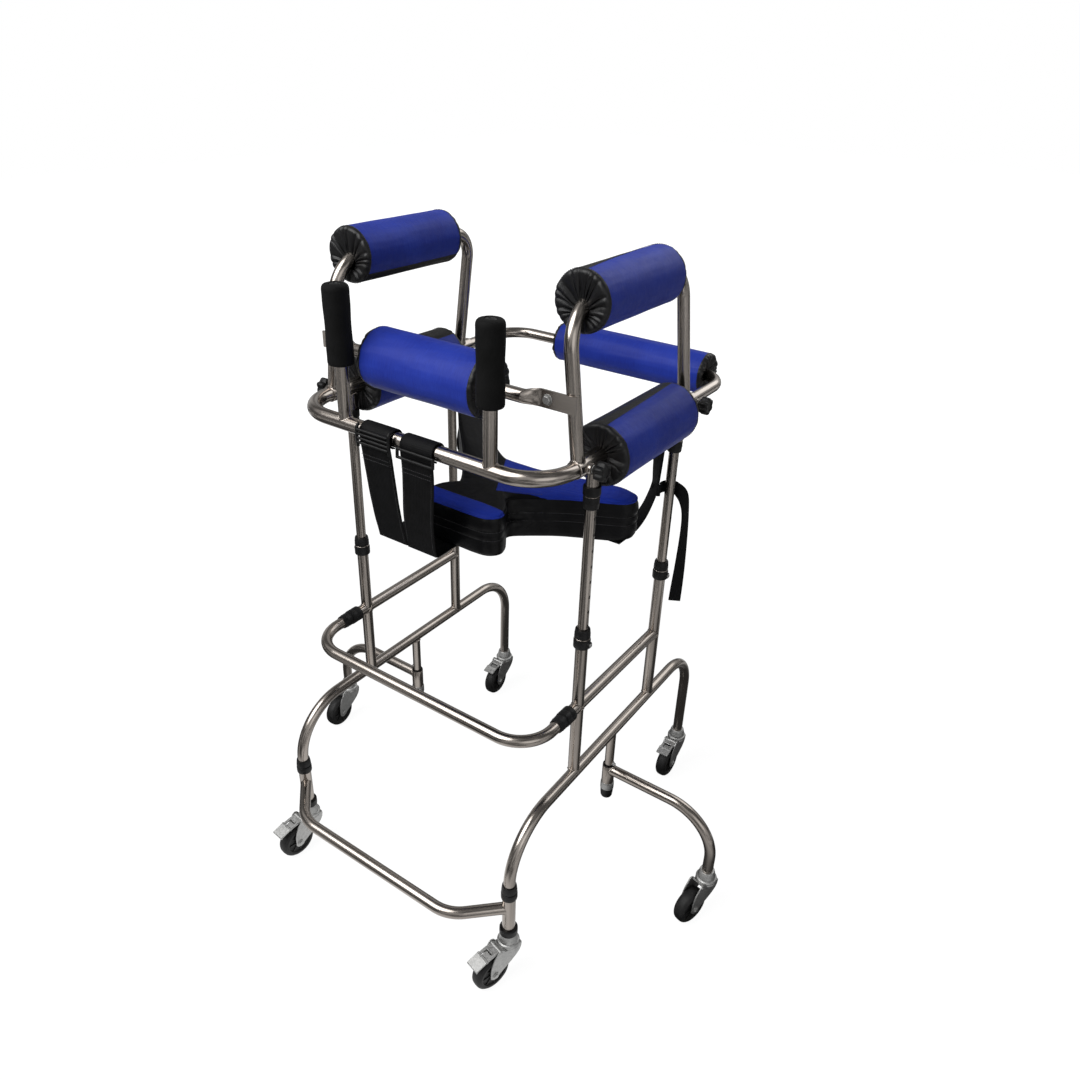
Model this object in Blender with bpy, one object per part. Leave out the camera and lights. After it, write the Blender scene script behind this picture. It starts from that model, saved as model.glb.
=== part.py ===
"""Wheeled walking trainer with underarm arches, hand grips and a sling seat.

Metres, +Z up. The origin is on the floor under the middle of the four uprights,
+X is the user's right and -Y is the front. Each object is one separate solid.
"""
import math

import bmesh
import bpy
from mathutils import Matrix, Vector

# Clearance between pieces, and sides of round pieces and of their bores
GAP = 0.0003
TUBE_SIDES = 12
FINE_SIDES = 16
ROLL_SIDES = 18
WHEEL_SIDES = 20
BORE_SIDES = 8

# Tube radii and the wall of the bent tubes
TUBE = 0.0095
LEG = 0.0080
GRIP_BAR = 0.0110
SIDE_TUBE = 0.0125
TUBE_WALL = 0.0022

# Base frame
HALF_WIDTH = 0.225
UPRIGHT_Y = 0.123
UPRIGHT_TOP = 0.568
LOWER_RAIL_Z = 0.300
UPPER_RAIL_Z = 0.435
UPPER_RAIL_FRONT = -0.1645
LEG_SPLAY = 0.0035
FRONT_LEG = (HALF_WIDTH + LEG_SPLAY, -0.300)
REAR_LEG_Y = 0.295
FRONT_BEND = 0.095
REAR_BEND = 0.085
LEG_FOOT_Z = 0.0955
FRONT_JOINT_Z = 0.194
SPIGOT = 0.045

# Front bars
MIDDLE_BAR_Y = -0.253
MIDDLE_BAR_BEND = 0.059
CROSSBAR_Z = 0.152
CROSSBAR_Y = -0.366
CROSSBAR_CORNER = 0.071
CROSSBAR_HALF = HALF_WIDTH - CROSSBAR_CORNER
CROSSBAR_BEND = 0.040

# Outriggers
STUB_FOOT_Z = 0.172
ARM_Z = 0.210
ARM_SPAN = 0.208
ARM_REACH = HALF_WIDTH + ARM_SPAN
ARM_BEND = 0.086
SLEEVE_TOP = 0.2198
SLEEVE_CAP_Z = 0.145

# Casters: swivel axis at the origin of their own frame, trailing along +X
WHEEL_RADIUS = 0.0325
WHEEL_WIDTH = 0.022
TRAIL = 0.0355
AXLE = 0.0032
STEM = 0.0060
STEM_TOP = 0.1200
CROWN_Z = 0.0700
PLATE = 0.0022
PLATE_GAP = 0.0006
AXLE_EYE = 0.0095
HEADINGS = {
    "front_right": -105,
    "front_left": -96,
    "rear_right": -90,
    "rear_left": -87,
    "outer_right": -106,
    "outer_left": -88,
}

# Brake pedal in the caster's frame: pivot, half width, length and slope
PEDAL_PIVOT = (0.0250, 0.0775)
PEDAL_HALF = 0.0102
PEDAL_LENGTH = 0.040
PEDAL_SLOPE = 9
PEDAL_PLATE = 0.0024

# Push buttons
BUTTON = 0.0032
HEIGHT_BUTTON_Z = 0.5560
STUB_BUTTON_Z = 0.2245

# Upper frame
SIDE_INSET = 0.0025
SIDE_X = HALF_WIDTH - SIDE_INSET
SIDE_Z = 0.850
SIDE_FRONT = -0.168
SIDE_REAR = 0.168
STUB_BOTTOM = 0.799
LEG_BOTTOM = 0.497
ARCH_FRONT = -0.158
ARCH_REAR = 0.144
ARCH_TOP_Z = 1.0545
ARCH_LEAN = 0.0255
ARCH_TOP_X = SIDE_X - ARCH_LEAN
ARCH_FRONT_BEND = 0.056
ARCH_REAR_BEND = 0.045
BAR_INSERTION = 0.080

# Star knobs
KNOB_Y = {"front": -0.148, "rear": 0.158}
KNOB_SCREW = 0.0030
KNOB_RADIUS = 0.0140
KNOB_LOBES = 6
KNOB_DEPTH = 0.0140
KNOB_NECK = 0.0065
BOSS_REACH = 0.0165
BOSS_RADIUS = 0.0080

# Grip bar
GRIP_BAR_Y = -0.234
GRIP_SPREAD = 0.1285
GRIP_SHIFT = 0.0095
GRIP_BOTTOM = 0.936
GRIP_TOP = 1.045
GRIP_RADIUS = 0.0175
GRIP_CAP = 0.015

# Back bar and chest bar
BACK_BAR_Y = 0.301
BACK_BAR_BEND = 0.055
CHEST_BAR_Y = -0.1800
CHEST_BAR_Z = 0.937
CHEST_BAR_ROUND = SIDE_X - 0.0725
CHEST_BAR_FLAT = SIDE_X - 0.0505
CHEST_BAR_END = SIDE_X - 0.0005
CHEST_PLATE = (0.0030, 0.0240)

# Rolls: outer radius and the two ends along their bar
ARM_ROLL = (0.0400, -0.134, 0.078)
WAIST_ROLL = (0.0445, -0.109, 0.109)
CHEST_ROLL = (0.0430, -0.104, 0.099)
BACK_ROLL = (0.0345, -0.108, 0.192)
ROLL_EDGE = 0.0120

# Seat: shift to the right, height, and the curl of its left wing
SEAT_SHIFT = 0.028
SEAT_BOTTOM = 0.674
SEAT_DEPTH_MIDDLE = -0.070
CURL_START = -0.040
CURL_RISE = 5.0
CURL_DRAW = 0.28
CURL_SWEEP = 0.20

# Straps
STRAP = 0.0025
LOOP_EDGES = ((-0.080, -0.023), (-0.005, 0.052))
HEM_EDGES = ((-0.086, -0.030), (-0.0285, 0.027))
HEM_Y = -0.215
HEM_REACH = -0.150
REAR_STRAP_WIDTH = 0.024
COLUMN_INSET = 0.020
COLUMN_FORWARD = 0.012
TAIL_WIDTH = 0.0204
TAIL_THICKNESS = 0.0019
TAIL_RADIUS = 0.0165
TAIL_Z = 0.711
TAIL_BEHIND = 0.017
TAIL_FALL = ((0.018, 0.015), (0.025, 0.051), (0.026, 0.131), (0.024, 0.209))

# Looks: base colour, roughness, metallic
STEEL = ((0.62, 0.60, 0.57), 0.22, 1.0)
ZINC = ((0.55, 0.55, 0.54), 0.38, 1.0)
BLACK_PLASTIC = ((0.012, 0.012, 0.013), 0.42, 0.0)
FOAM = ((0.014, 0.014, 0.014), 0.85, 0.0)
TYRE = ((0.010, 0.010, 0.011), 0.60, 0.0)
BLUE_CLOTH = ((0.020, 0.035, 0.350), 0.75, 0.0)
BLACK_CLOTH = ((0.010, 0.010, 0.012), 0.80, 0.0)

SIDES = (("right", 1), ("left", -1))
ENDS = (("front", -1), ("rear", 1))


def clear_scene():
    for obj in list(bpy.data.objects):
        bpy.data.objects.remove(obj, do_unlink=True)


def material(name, look):
    colour, roughness, metallic = look
    mat = bpy.data.materials.new(name)
    mat.use_nodes = True
    shader = mat.node_tree.nodes["Principled BSDF"]
    shader.inputs["Base Color"].default_value = (*colour, 1.0)
    shader.inputs["Roughness"].default_value = roughness
    shader.inputs["Metallic"].default_value = metallic
    return mat


def add(name, mesh, look, origin=(0.0, 0.0, 0.0)):
    """A named object with its own material, its origin moved onto its joint axis."""
    mesh.transform(Matrix.Translation(-Vector(origin)))
    mesh.materials.clear()
    mesh.materials.append(material(name, look))
    mesh.shade_smooth()
    mesh.set_sharp_from_angle(angle=math.radians(35))
    obj = bpy.data.objects.new(name, mesh)
    obj.location = origin
    bpy.context.scene.collection.objects.link(obj)
    return obj


def solid_from(bm):
    bmesh.ops.recalc_face_normals(bm, faces=bm.faces)
    mesh = bpy.data.meshes.new("solid")
    bm.to_mesh(mesh)
    bm.free()
    return mesh


def snug(radius, sides=TUBE_SIDES):
    """Corner radius of a bore whose flats clear a bar of this radius."""
    return (radius + GAP) / math.cos(math.pi / sides)


def rod(start, end, radius, sides=TUBE_SIDES, twist=0.0):
    """A straight round bar between two points, its corners turned by twist radians."""
    start, end = Vector(start), Vector(end)
    along = end - start
    bm = bmesh.new()
    bmesh.ops.create_cone(
        bm, cap_ends=True, segments=sides, radius1=radius, radius2=radius, depth=along.length,
    )
    turn = along.to_track_quat("Z", "Y").to_matrix().to_4x4()
    bm.transform(Matrix.Translation((start + end) / 2) @ turn @ Matrix.Rotation(twist, 4, "Z"))
    return solid_from(bm)


def cross_rod(centre, side, start, end, radius):
    """A bar along X between two distances from a tube's axis, its flats up and sideways."""
    x, y, z = centre
    return rod((x + side * start, y, z), (x + side * end, y, z), radius, twist=math.pi / TUBE_SIDES)


def turned(profile, axis_point, axis="Z", sides=TUBE_SIDES):
    """A turned solid from (radius, height) points: open at the axis when it starts off it."""
    bm = bmesh.new()
    verts = [bm.verts.new((radius, 0.0, height)) for radius, height in profile]
    edges = [bm.edges.new(pair) for pair in zip(verts, verts[1:])]
    if profile[0][0] > 0:
        edges.append(bm.edges.new((verts[-1], verts[0])))
    bmesh.ops.spin(
        bm, geom=verts + edges, cent=(0, 0, 0), axis=(0, 0, 1),
        angle=math.tau, steps=sides, use_merge=True,
    )
    bmesh.ops.remove_doubles(bm, verts=bm.verts, dist=0.00001)
    turn = {
        "Z": Matrix.Identity(4),
        "Y": Matrix.Rotation(math.radians(-90), 4, "X"),
        "X": Matrix.Rotation(math.radians(90), 4, "Y"),
    }[axis]
    bm.transform(Matrix.Translation(axis_point) @ turn)
    return solid_from(bm)


def block(low, high):
    bm = bmesh.new()
    bmesh.ops.create_cube(bm, size=1.0)
    low, high = Vector(low), Vector(high)
    size = Matrix.Diagonal((*(high - low), 1.0))
    bm.transform(Matrix.Translation((low + high) / 2) @ size)
    return solid_from(bm)


def extruded(outline, place, thickness):
    """A flat outline of (x, y) points pushed along z, then moved by the matrix."""
    bm = bmesh.new()
    face = bm.faces.new([bm.verts.new((x, y, 0.0)) for x, y in outline])
    pushed = bmesh.ops.extrude_face_region(bm, geom=[face])
    top = [item for item in pushed["geom"] if isinstance(item, bmesh.types.BMVert)]
    bmesh.ops.translate(bm, verts=top, vec=(0.0, 0.0, thickness))
    bm.transform(place)
    return solid_from(bm)


def lofted(rings):
    """A closed skin over rings that have the same number of points."""
    bm = bmesh.new()
    loops = [[bm.verts.new(point) for point in ring] for ring in rings]
    for lower, upper in zip(loops, loops[1:]):
        for index in range(len(lower)):
            after = (index + 1) % len(lower)
            bm.faces.new((lower[index], lower[after], upper[after], upper[index]))
    bm.faces.new(list(reversed(loops[0])))
    bm.faces.new(loops[-1])
    bmesh.ops.triangulate(bm, faces=[face for face in bm.faces if len(face.verts) > 4])
    return solid_from(bm)


def filleted(corners, steps=4):
    """Points of a bent bar: each (point, bend radius) corner becomes an arc."""
    points = [Vector(corners[0][0])]
    for (before, _), (corner, radius), (after, _) in zip(corners, corners[1:], corners[2:]):
        corner = Vector(corner)
        back = (Vector(before) - corner).normalized()
        ahead = (Vector(after) - corner).normalized()
        half = back.angle(ahead) / 2
        centre = corner + (back + ahead).normalized() * radius / math.sin(half)
        first = corner + back * radius / math.tan(half) - centre
        last = corner + ahead * radius / math.tan(half) - centre
        sweep = first.angle(last)
        for step in range(steps + 1):
            share = step / steps
            point = first * math.sin(sweep * (1 - share)) + last * math.sin(sweep * share)
            points.append(centre + point / math.sin(sweep))
    points.append(Vector(corners[-1][0]))
    return points


def bent(points, radius, sides=TUBE_SIDES):
    """A round bar along a path: a curve with a bevel and filled ends."""
    curve = bpy.data.curves.new("path", "CURVE")
    curve.dimensions = "3D"
    curve.bevel_depth = radius
    curve.bevel_resolution = (sides - 4) // 2
    curve.use_fill_caps = True
    spline = curve.splines.new("POLY")
    spline.points.add(len(points) - 1)
    for target, point in zip(spline.points, points):
        target.co = (*point, 1.0)
    holder = bpy.data.objects.new("path", curve)
    bpy.context.scene.collection.objects.link(holder)
    shape = holder.evaluated_get(bpy.context.evaluated_depsgraph_get())
    bm = bmesh.new()
    bm.from_mesh(bpy.data.meshes.new_from_object(shape))
    bpy.data.objects.remove(holder, do_unlink=True)
    bpy.data.curves.remove(curve)
    bmesh.ops.remove_doubles(bm, verts=bm.verts, dist=0.00001)
    return solid_from(bm)


def combined(base, others, operation="UNION"):
    """The Boolean union of the meshes, or the first one cut by the rest."""
    for other in others:
        main = bpy.data.objects.new("main", base)
        tool = bpy.data.objects.new("tool", other)
        bpy.context.scene.collection.objects.link(main)
        bpy.context.scene.collection.objects.link(tool)
        step = main.modifiers.new("step", "BOOLEAN")
        step.solver = "EXACT"
        step.operation = operation
        step.object = tool
        shape = main.evaluated_get(bpy.context.evaluated_depsgraph_get())
        base = bpy.data.meshes.new_from_object(shape)
        bpy.data.objects.remove(main, do_unlink=True)
        bpy.data.objects.remove(tool, do_unlink=True)
    bm = bmesh.new()
    bm.from_mesh(base)
    bmesh.ops.remove_doubles(bm, verts=bm.verts, dist=0.000005)
    bmesh.ops.dissolve_degenerate(bm, edges=bm.edges, dist=0.000005)
    bm.to_mesh(base)
    bm.free()
    return base


def hollowed(shell, bores):
    """The shell cut by all its bores at once, so that no bore is ever a sealed hollow."""
    return combined(shell, [combined(bores[0], bores[1:])], "DIFFERENCE")


def side_rail(side):
    """Corners of the lower rail and of the two legs that it bends down into."""
    x, leg_x = HALF_WIDTH * side, FRONT_LEG[0] * side
    return [
        ((leg_x, FRONT_LEG[1], FRONT_JOINT_Z), 0),
        ((leg_x, FRONT_LEG[1], LOWER_RAIL_Z), FRONT_BEND),
        ((x, REAR_LEG_Y, LOWER_RAIL_Z), REAR_BEND),
        ((x, REAR_LEG_Y, LEG_FOOT_Z), 0),
    ]


def side_frame(side):
    """Lower rail bent down into two legs, two uprights, an upper rail and an outrigger stub."""
    x = HALF_WIDTH * side
    front = Vector((FRONT_LEG[0] * side, FRONT_LEG[1], FRONT_JOINT_Z))
    rail = side_rail(side)
    inside = [(front - Vector((0, 0, SPIGOT + 0.01)), 0), *rail[1:3], ((x, REAR_LEG_Y, LEG_FOOT_Z - 0.01), 0)]
    parts = [
        rod(front + Vector((0, 0, 0.004)), front - Vector((0, 0, SPIGOT)), LEG),
        rod((x, 0, LOWER_RAIL_Z), (x, 0, STUB_FOOT_Z), LEG),
        rod((x, UPRIGHT_Y, UPPER_RAIL_Z), (x, UPPER_RAIL_FRONT, UPPER_RAIL_Z), TUBE),
    ]
    bores = [
        bent(filleted(inside), TUBE - TUBE_WALL, BORE_SIDES),
        rod((x, 0, LOWER_RAIL_Z), (x, 0, STUB_FOOT_Z - 0.01), LEG - TUBE_WALL, BORE_SIDES),
        rod((x, UPRIGHT_Y, UPPER_RAIL_Z), (x, UPPER_RAIL_FRONT - 0.01, UPPER_RAIL_Z), TUBE - TUBE_WALL,
            BORE_SIDES),
        button_hole((x, 0, STUB_BUTTON_Z), side, 0.003),
    ]
    for _, end in ENDS:
        y = UPRIGHT_Y * end
        parts.append(rod((x, y, LOWER_RAIL_Z), (x, y, UPRIGHT_TOP), TUBE))
        bores.append(rod((x, y, LOWER_RAIL_Z), (x, y, UPRIGHT_TOP + 0.01), LEG + GAP))
        bores.append(button_hole((x, y, HEIGHT_BUTTON_Z), side, 0.006))
    return hollowed(combined(bent(filleted(rail), TUBE), parts), bores)


def button_hole(centre, side, start):
    """The hole of a push button, running outwards along X from start metres off the tube's axis."""
    return cross_rod(centre, side, start, 0.020, BUTTON + GAP)


def upright_collar(x, y, side):
    """Two-step clamp ring on the upright's top, with a boss round the push button."""
    inner, outer = LEG + GAP, TUBE + GAP
    step = UPRIGHT_TOP + 0.0005
    profile = [
        (outer, 0.5490), (0.0130, 0.5490), (0.0130, 0.5630), (0.0115, 0.5640), (0.0115, 0.5665),
        (0.0123, 0.5675), (0.0110, 0.5810), (inner, 0.5810), (inner, step), (outer, step),
    ]
    centre = (x, y, HEIGHT_BUTTON_Z)
    boss = cross_rod(centre, side, 0.0115, 0.0148, 0.0052)
    return hollowed(combined(turned(profile, (x, y, 0)), [boss]), [button_hole(centre, side, 0.006)])


def push_button(centre, side, inner_end, outer_end):
    """A small domed push button along X, its ends measured from the tube's axis."""
    edge = 0.0010
    profile = [(0.0, inner_end), (BUTTON, inner_end), (BUTTON, outer_end - edge), (0.0, outer_end)]
    mesh = turned(profile, (0, 0, 0), sides=10)
    turn = Matrix.Rotation(math.radians(90) * side, 4, "Y")
    mesh.transform(Matrix.Translation(centre) @ turn)
    return mesh


def front_leg_collar(x, y):
    """Clamp ring over the joint between a front leg and the front bar's sleeve."""
    inner = TUBE + GAP
    profile = [
        (inner, 0.1780), (0.0130, 0.1780), (0.0130, 0.1900), (0.0115, 0.1910), (0.0115, 0.1940),
        (0.0125, 0.1950), (0.0112, 0.2045), (inner, 0.2045),
    ]
    return turned(profile, (x, y, 0))


def upper_collar(x, y):
    """Clamp ring where an inner leg meets the stub of the side tube."""
    inner, outer = LEG + GAP, TUBE + GAP
    step = STUB_BOTTOM - 0.0005
    profile = [
        (inner, 0.7800), (0.0110, 0.7800), (0.0118, 0.7970), (0.0110, 0.7978), (0.0110, 0.8002),
        (0.0126, 0.8012), (0.0126, 0.8130), (outer, 0.8130), (outer, step), (inner, step),
    ]
    return turned(profile, (x, y, 0))


def middle_connector(x):
    """Sleeve that plugs the middle bar onto the upper rail."""
    inner = TUBE + GAP
    profile = [
        (inner, -0.1845), (0.0112, -0.1845), (0.0121, -0.1700), (0.0113, -0.1690), (0.0113, -0.1665),
        (0.0127, -0.1655), (0.0127, -0.1440), (inner, -0.1440),
    ]
    return turned(profile, (x, 0, UPPER_RAIL_Z), axis="Y")


def u_bar(half, end_y, bend_y, z, radius, bend, posts=(), post_bores=()):
    """A hollow U-shaped bar: two ends along Y joined by a cross piece at bend_y."""
    past_end = end_y + math.copysign(0.01, end_y - bend_y)

    def path(y):
        return [((-half, y, z), 0), ((-half, bend_y, z), bend), ((half, bend_y, z), bend), ((half, y, z), 0)]

    shell = combined(bent(filleted(path(end_y)), radius), posts)
    return hollowed(shell, [bent(filleted(path(past_end)), radius - TUBE_WALL, BORE_SIDES), *post_bores])


def middle_bar():
    """The bar across the front at knee height, its ends held in the connectors."""
    end = UPPER_RAIL_FRONT - 0.0010
    return u_bar(HALF_WIDTH, end, MIDDLE_BAR_Y, UPPER_RAIL_Z, TUBE, MIDDLE_BAR_BEND)


def back_bar():
    """The bar behind the user, sliding in the rear ends of the side tubes."""
    return u_bar(SIDE_X, SIDE_REAR - BAR_INSERTION, BACK_BAR_Y, SIDE_Z, TUBE, BACK_BAR_BEND)


def front_crossbar():
    """Two leg sleeves joined by the low bar across the front."""
    x, y = FRONT_LEG
    corners = [
        ((-x, y, CROSSBAR_Z), 0),
        ((-CROSSBAR_HALF, CROSSBAR_Y, CROSSBAR_Z), CROSSBAR_BEND),
        ((CROSSBAR_HALF, CROSSBAR_Y, CROSSBAR_Z), CROSSBAR_BEND),
        ((x, y, CROSSBAR_Z), 0),
    ]
    top = FRONT_JOINT_Z - GAP
    sleeves = [rod((side * x, y, LEG_FOOT_Z), (side * x, y, top), TUBE) for _, side in SIDES]
    bores = [rod((side * x, y, LEG_FOOT_Z - 0.01), (side * x, y, top + 0.01), LEG + GAP) for _, side in SIDES]
    shell = combined(bent(filleted(corners), TUBE), sleeves)
    return hollowed(shell, [bent(filleted(corners), TUBE - TUBE_WALL, BORE_SIDES), *bores])


def outrigger_arm(side):
    """Sleeve that turns on the stub, its round cap, and the arm bent down to the caster."""
    x, reach = HALF_WIDTH * side, ARM_REACH * side

    def path(foot_z):
        return [((x, 0, ARM_Z), 0), ((reach, 0, ARM_Z), ARM_BEND), ((reach, 0, foot_z), 0)]

    profile = [
        (0.0, SLEEVE_CAP_Z), (0.0060, SLEEVE_CAP_Z + 0.0012), (0.0100, SLEEVE_CAP_Z + 0.0060),
        (0.0106, 0.1650), (0.0119, 0.1655), (0.0119, 0.1810), (0.0109, 0.1830),
        (0.0109, SLEEVE_TOP), (0.0, SLEEVE_TOP),
    ]
    shell = combined(turned(profile, (x, 0, 0)), [bent(filleted(path(LEG_FOOT_Z)), TUBE)])
    arm_bore = bent(filleted(path(LEG_FOOT_Z - 0.01)), TUBE - TUBE_WALL, BORE_SIDES)
    bore = rod((x, 0, STUB_FOOT_Z - 0.0010), (x, 0, SLEEVE_TOP + 0.01), LEG + GAP)
    return hollowed(shell, [arm_bore, bore])


def fork_outline():
    """Side view of a fork plate, from the crown down to the round axle end."""
    points = [(-0.0140, CROWN_Z + PLATE / 2), (-0.0140, 0.0660), (-0.0060, 0.0560)]
    for step in range(5):
        angle = math.radians(205 + 42 * step)
        points.append((TRAIL + AXLE_EYE * math.cos(angle), WHEEL_RADIUS + AXLE_EYE * math.sin(angle)))
    x, z = PEDAL_PIVOT
    points += [(0.0410, 0.0480), (x + 0.0050, z + 0.0015), (x, z + 0.0047), (x - 0.0050, z + 0.0015),
               (0.0150, CROWN_Z + PLATE / 2)]
    return points


def caster_fork():
    """Stem, ringed housing, two pressed plates and the axle."""
    profile = [
        (0.0, CROWN_Z), (0.0180, CROWN_Z), (0.0180, 0.0785), (0.0150, 0.0795), (0.0130, LEG_FOOT_Z - GAP),
        (STEM, LEG_FOOT_Z - GAP), (STEM, STEM_TOP), (0.0, STEM_TOP),
    ]
    half = WHEEL_WIDTH / 2 + PLATE_GAP
    reach = half + PLATE + 0.0022
    parts = [rod((TRAIL, -reach, WHEEL_RADIUS), (TRAIL, reach, WHEEL_RADIUS), AXLE, BORE_SIDES)]
    for _, side in SIDES:
        far_side = half + PLATE if side > 0 else -half
        turn = Matrix.Translation((0, far_side, 0)) @ Matrix.Rotation(math.radians(90), 4, "X")
        parts.append(extruded(fork_outline(), turn, PLATE))
        parts.append(rod((TRAIL, side * (half + PLATE - GAP), WHEEL_RADIUS),
                         (TRAIL, side * reach, WHEEL_RADIUS), 0.0052, 6))
    return combined(turned(profile, (0, 0, 0)), parts)


def brake_pedal():
    """A pressed plate with a window and a ridge, over the wheel, on its own pivot."""
    x, z = PEDAL_PIVOT
    half = PEDAL_PLATE / 2
    hub_half = WHEEL_WIDTH / 2 + PLATE_GAP - GAP
    hub = rod((x, -hub_half, z), (x, hub_half, z), 0.0034, 10)
    plate = block((0.0, -PEDAL_HALF, -half), (PEDAL_LENGTH, PEDAL_HALF, half))
    window = block((0.0150, -0.0055, -0.0100), (0.0300, 0.0055, 0.0100))
    ridge = block((0.0345, -PEDAL_HALF + 0.0010, half / 2), (0.0375, PEDAL_HALF - 0.0010, half + 0.0022))
    slope = Matrix.Translation((x, 0, z + 0.0010)) @ Matrix.Rotation(math.radians(PEDAL_SLOPE), 4, "Y")
    for mesh in (plate, window, ridge):
        mesh.transform(slope)
    return combined(combined(hub, [plate, ridge]), [window], "DIFFERENCE")


def wheel():
    """A solid wheel with a rounded tread and the axle's bore."""
    half = WHEEL_WIDTH / 2
    profile = [(snug(AXLE, WHEEL_SIDES), half), (WHEEL_RADIUS - 0.0030, half), (WHEEL_RADIUS, half - 0.0055)]
    lower = [(radius, -height) for radius, height in reversed(profile)]
    return turned(profile + lower, (0, 0, 0), axis="Y", sides=WHEEL_SIDES)


def caster(name, x, y, with_brake):
    """Fork, wheel and brake of one caster, each with its origin on its own axis."""
    turn = Matrix.Translation((x, y, 0)) @ Matrix.Rotation(math.radians(HEADINGS[name]), 4, "Z")
    fork = caster_fork()
    fork.transform(turn)
    add(f"caster_fork_{name}", fork, ZINC, (x, y, LEG_FOOT_Z))
    rim = wheel()
    rim.transform(turn @ Matrix.Translation((TRAIL, 0, WHEEL_RADIUS)))
    add(f"wheel_{name}", rim, TYRE, turn @ Vector((TRAIL, 0, WHEEL_RADIUS)))
    if with_brake:
        pedal = brake_pedal()
        pedal.transform(turn)
        add(f"brake_pedal_{name}", pedal, ZINC, turn @ Vector((PEDAL_PIVOT[0], 0, PEDAL_PIVOT[1])))


def arch_path(side):
    """Centre line of an underarm arch, leaning in towards the user."""
    foot_x, top_x = side * SIDE_X, side * ARCH_TOP_X
    return [
        ((foot_x, ARCH_FRONT, SIDE_Z), 0),
        ((top_x, ARCH_FRONT, ARCH_TOP_Z), ARCH_FRONT_BEND),
        ((top_x, ARCH_REAR, ARCH_TOP_Z), ARCH_REAR_BEND),
        ((foot_x, ARCH_REAR, SIDE_Z), 0),
    ]


def arm_frame(side):
    """Side tube with its arch, knob bosses, two leg stubs and the sliding inner legs."""
    x, leg_x = SIDE_X * side, HALF_WIDTH * side
    tube = rod((x, SIDE_FRONT, SIDE_Z), (x, SIDE_REAR, SIDE_Z), SIDE_TUBE)
    parts = [bent(filleted(arch_path(side)), TUBE)]
    bores = [
        rod((x, SIDE_FRONT - 0.01, SIDE_Z), (x, 0.02, SIDE_Z), snug(GRIP_BAR)),
        rod((x, 0.0, SIDE_Z), (x, SIDE_REAR + 0.01, SIDE_Z), snug(TUBE)),
        bent(filleted(arch_path(side)), TUBE - TUBE_WALL, BORE_SIDES),
    ]
    for name, end in ENDS:
        y, knob_y = UPRIGHT_Y * end, KNOB_Y[name]
        parts.append(rod((leg_x, y, STUB_BOTTOM), (leg_x, y, SIDE_Z), TUBE))
        parts.append(rod((leg_x, y, LEG_BOTTOM), (leg_x, y, SIDE_Z - 0.02), LEG))
        parts.append(cross_rod((x, knob_y, SIDE_Z), side, 0.0, BOSS_REACH, BOSS_RADIUS))
        bores.append(rod((leg_x, y, LEG_BOTTOM - 0.01), (leg_x, y, SIDE_Z), LEG - TUBE_WALL, BORE_SIDES))
        bores.append(cross_rod((x, knob_y, SIDE_Z), side, 0.0, 0.05, snug(KNOB_SCREW)))
    return hollowed(combined(tube, parts), bores)


def star_knob(side, bar_radius):
    """Lobed knob with a neck and a screw that reaches the bar inside the side tube."""
    outline = []
    steps = KNOB_LOBES * 4
    for step in range(steps):
        angle = math.tau * step / steps
        radius = KNOB_RADIUS - 0.0016 * (1 - math.cos(angle * KNOB_LOBES))
        outline.append((radius * math.cos(angle), radius * math.sin(angle)))
    head_start = BOSS_REACH + KNOB_NECK
    head = extruded(outline, Matrix.Translation((0, 0, head_start)), KNOB_DEPTH)
    neck = rod((0, 0, BOSS_REACH + GAP), (0, 0, head_start + 0.001), BOSS_RADIUS - 0.001)
    screw = rod((0, 0, bar_radius + GAP), (0, 0, head_start), KNOB_SCREW, 10)
    knob = combined(head, [neck, screw])
    knob.transform(Matrix.Rotation(math.radians(90) * side, 4, "Y"))
    return knob


def grip_bar():
    """U-shaped bar that slides in the side tubes, with two posts for the grips."""
    bend = SIDE_FRONT - GRIP_BAR_Y - 0.0005
    top = GRIP_TOP - GRIP_CAP - 0.001
    posts, bores = [], []
    for _, side in SIDES:
        x = side * GRIP_SPREAD + GRIP_SHIFT
        posts.append(rod((x, GRIP_BAR_Y, SIDE_Z), (x, GRIP_BAR_Y, top), TUBE))
        bores.append(rod((x, GRIP_BAR_Y, SIDE_Z), (x, GRIP_BAR_Y, top + 0.01), TUBE - TUBE_WALL, BORE_SIDES))
    return u_bar(SIDE_X, SIDE_FRONT + BAR_INSERTION, GRIP_BAR_Y, SIDE_Z, GRIP_BAR, bend, posts, bores)


def grip(side):
    """Foam hand grip, closed and rounded at the top."""
    x = side * GRIP_SPREAD + GRIP_SHIFT
    inner = TUBE + GAP
    profile = [
        (0.0, GRIP_TOP - GRIP_CAP), (inner, GRIP_TOP - GRIP_CAP), (inner, GRIP_BOTTOM),
        (GRIP_RADIUS, GRIP_BOTTOM), (GRIP_RADIUS, GRIP_TOP - 0.0080),
        (GRIP_RADIUS - 0.0025, GRIP_TOP - 0.0023), (GRIP_RADIUS - 0.0080, GRIP_TOP), (0.0, GRIP_TOP),
    ]
    return turned(profile, (x, GRIP_BAR_Y, 0), sides=FINE_SIDES)


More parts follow.
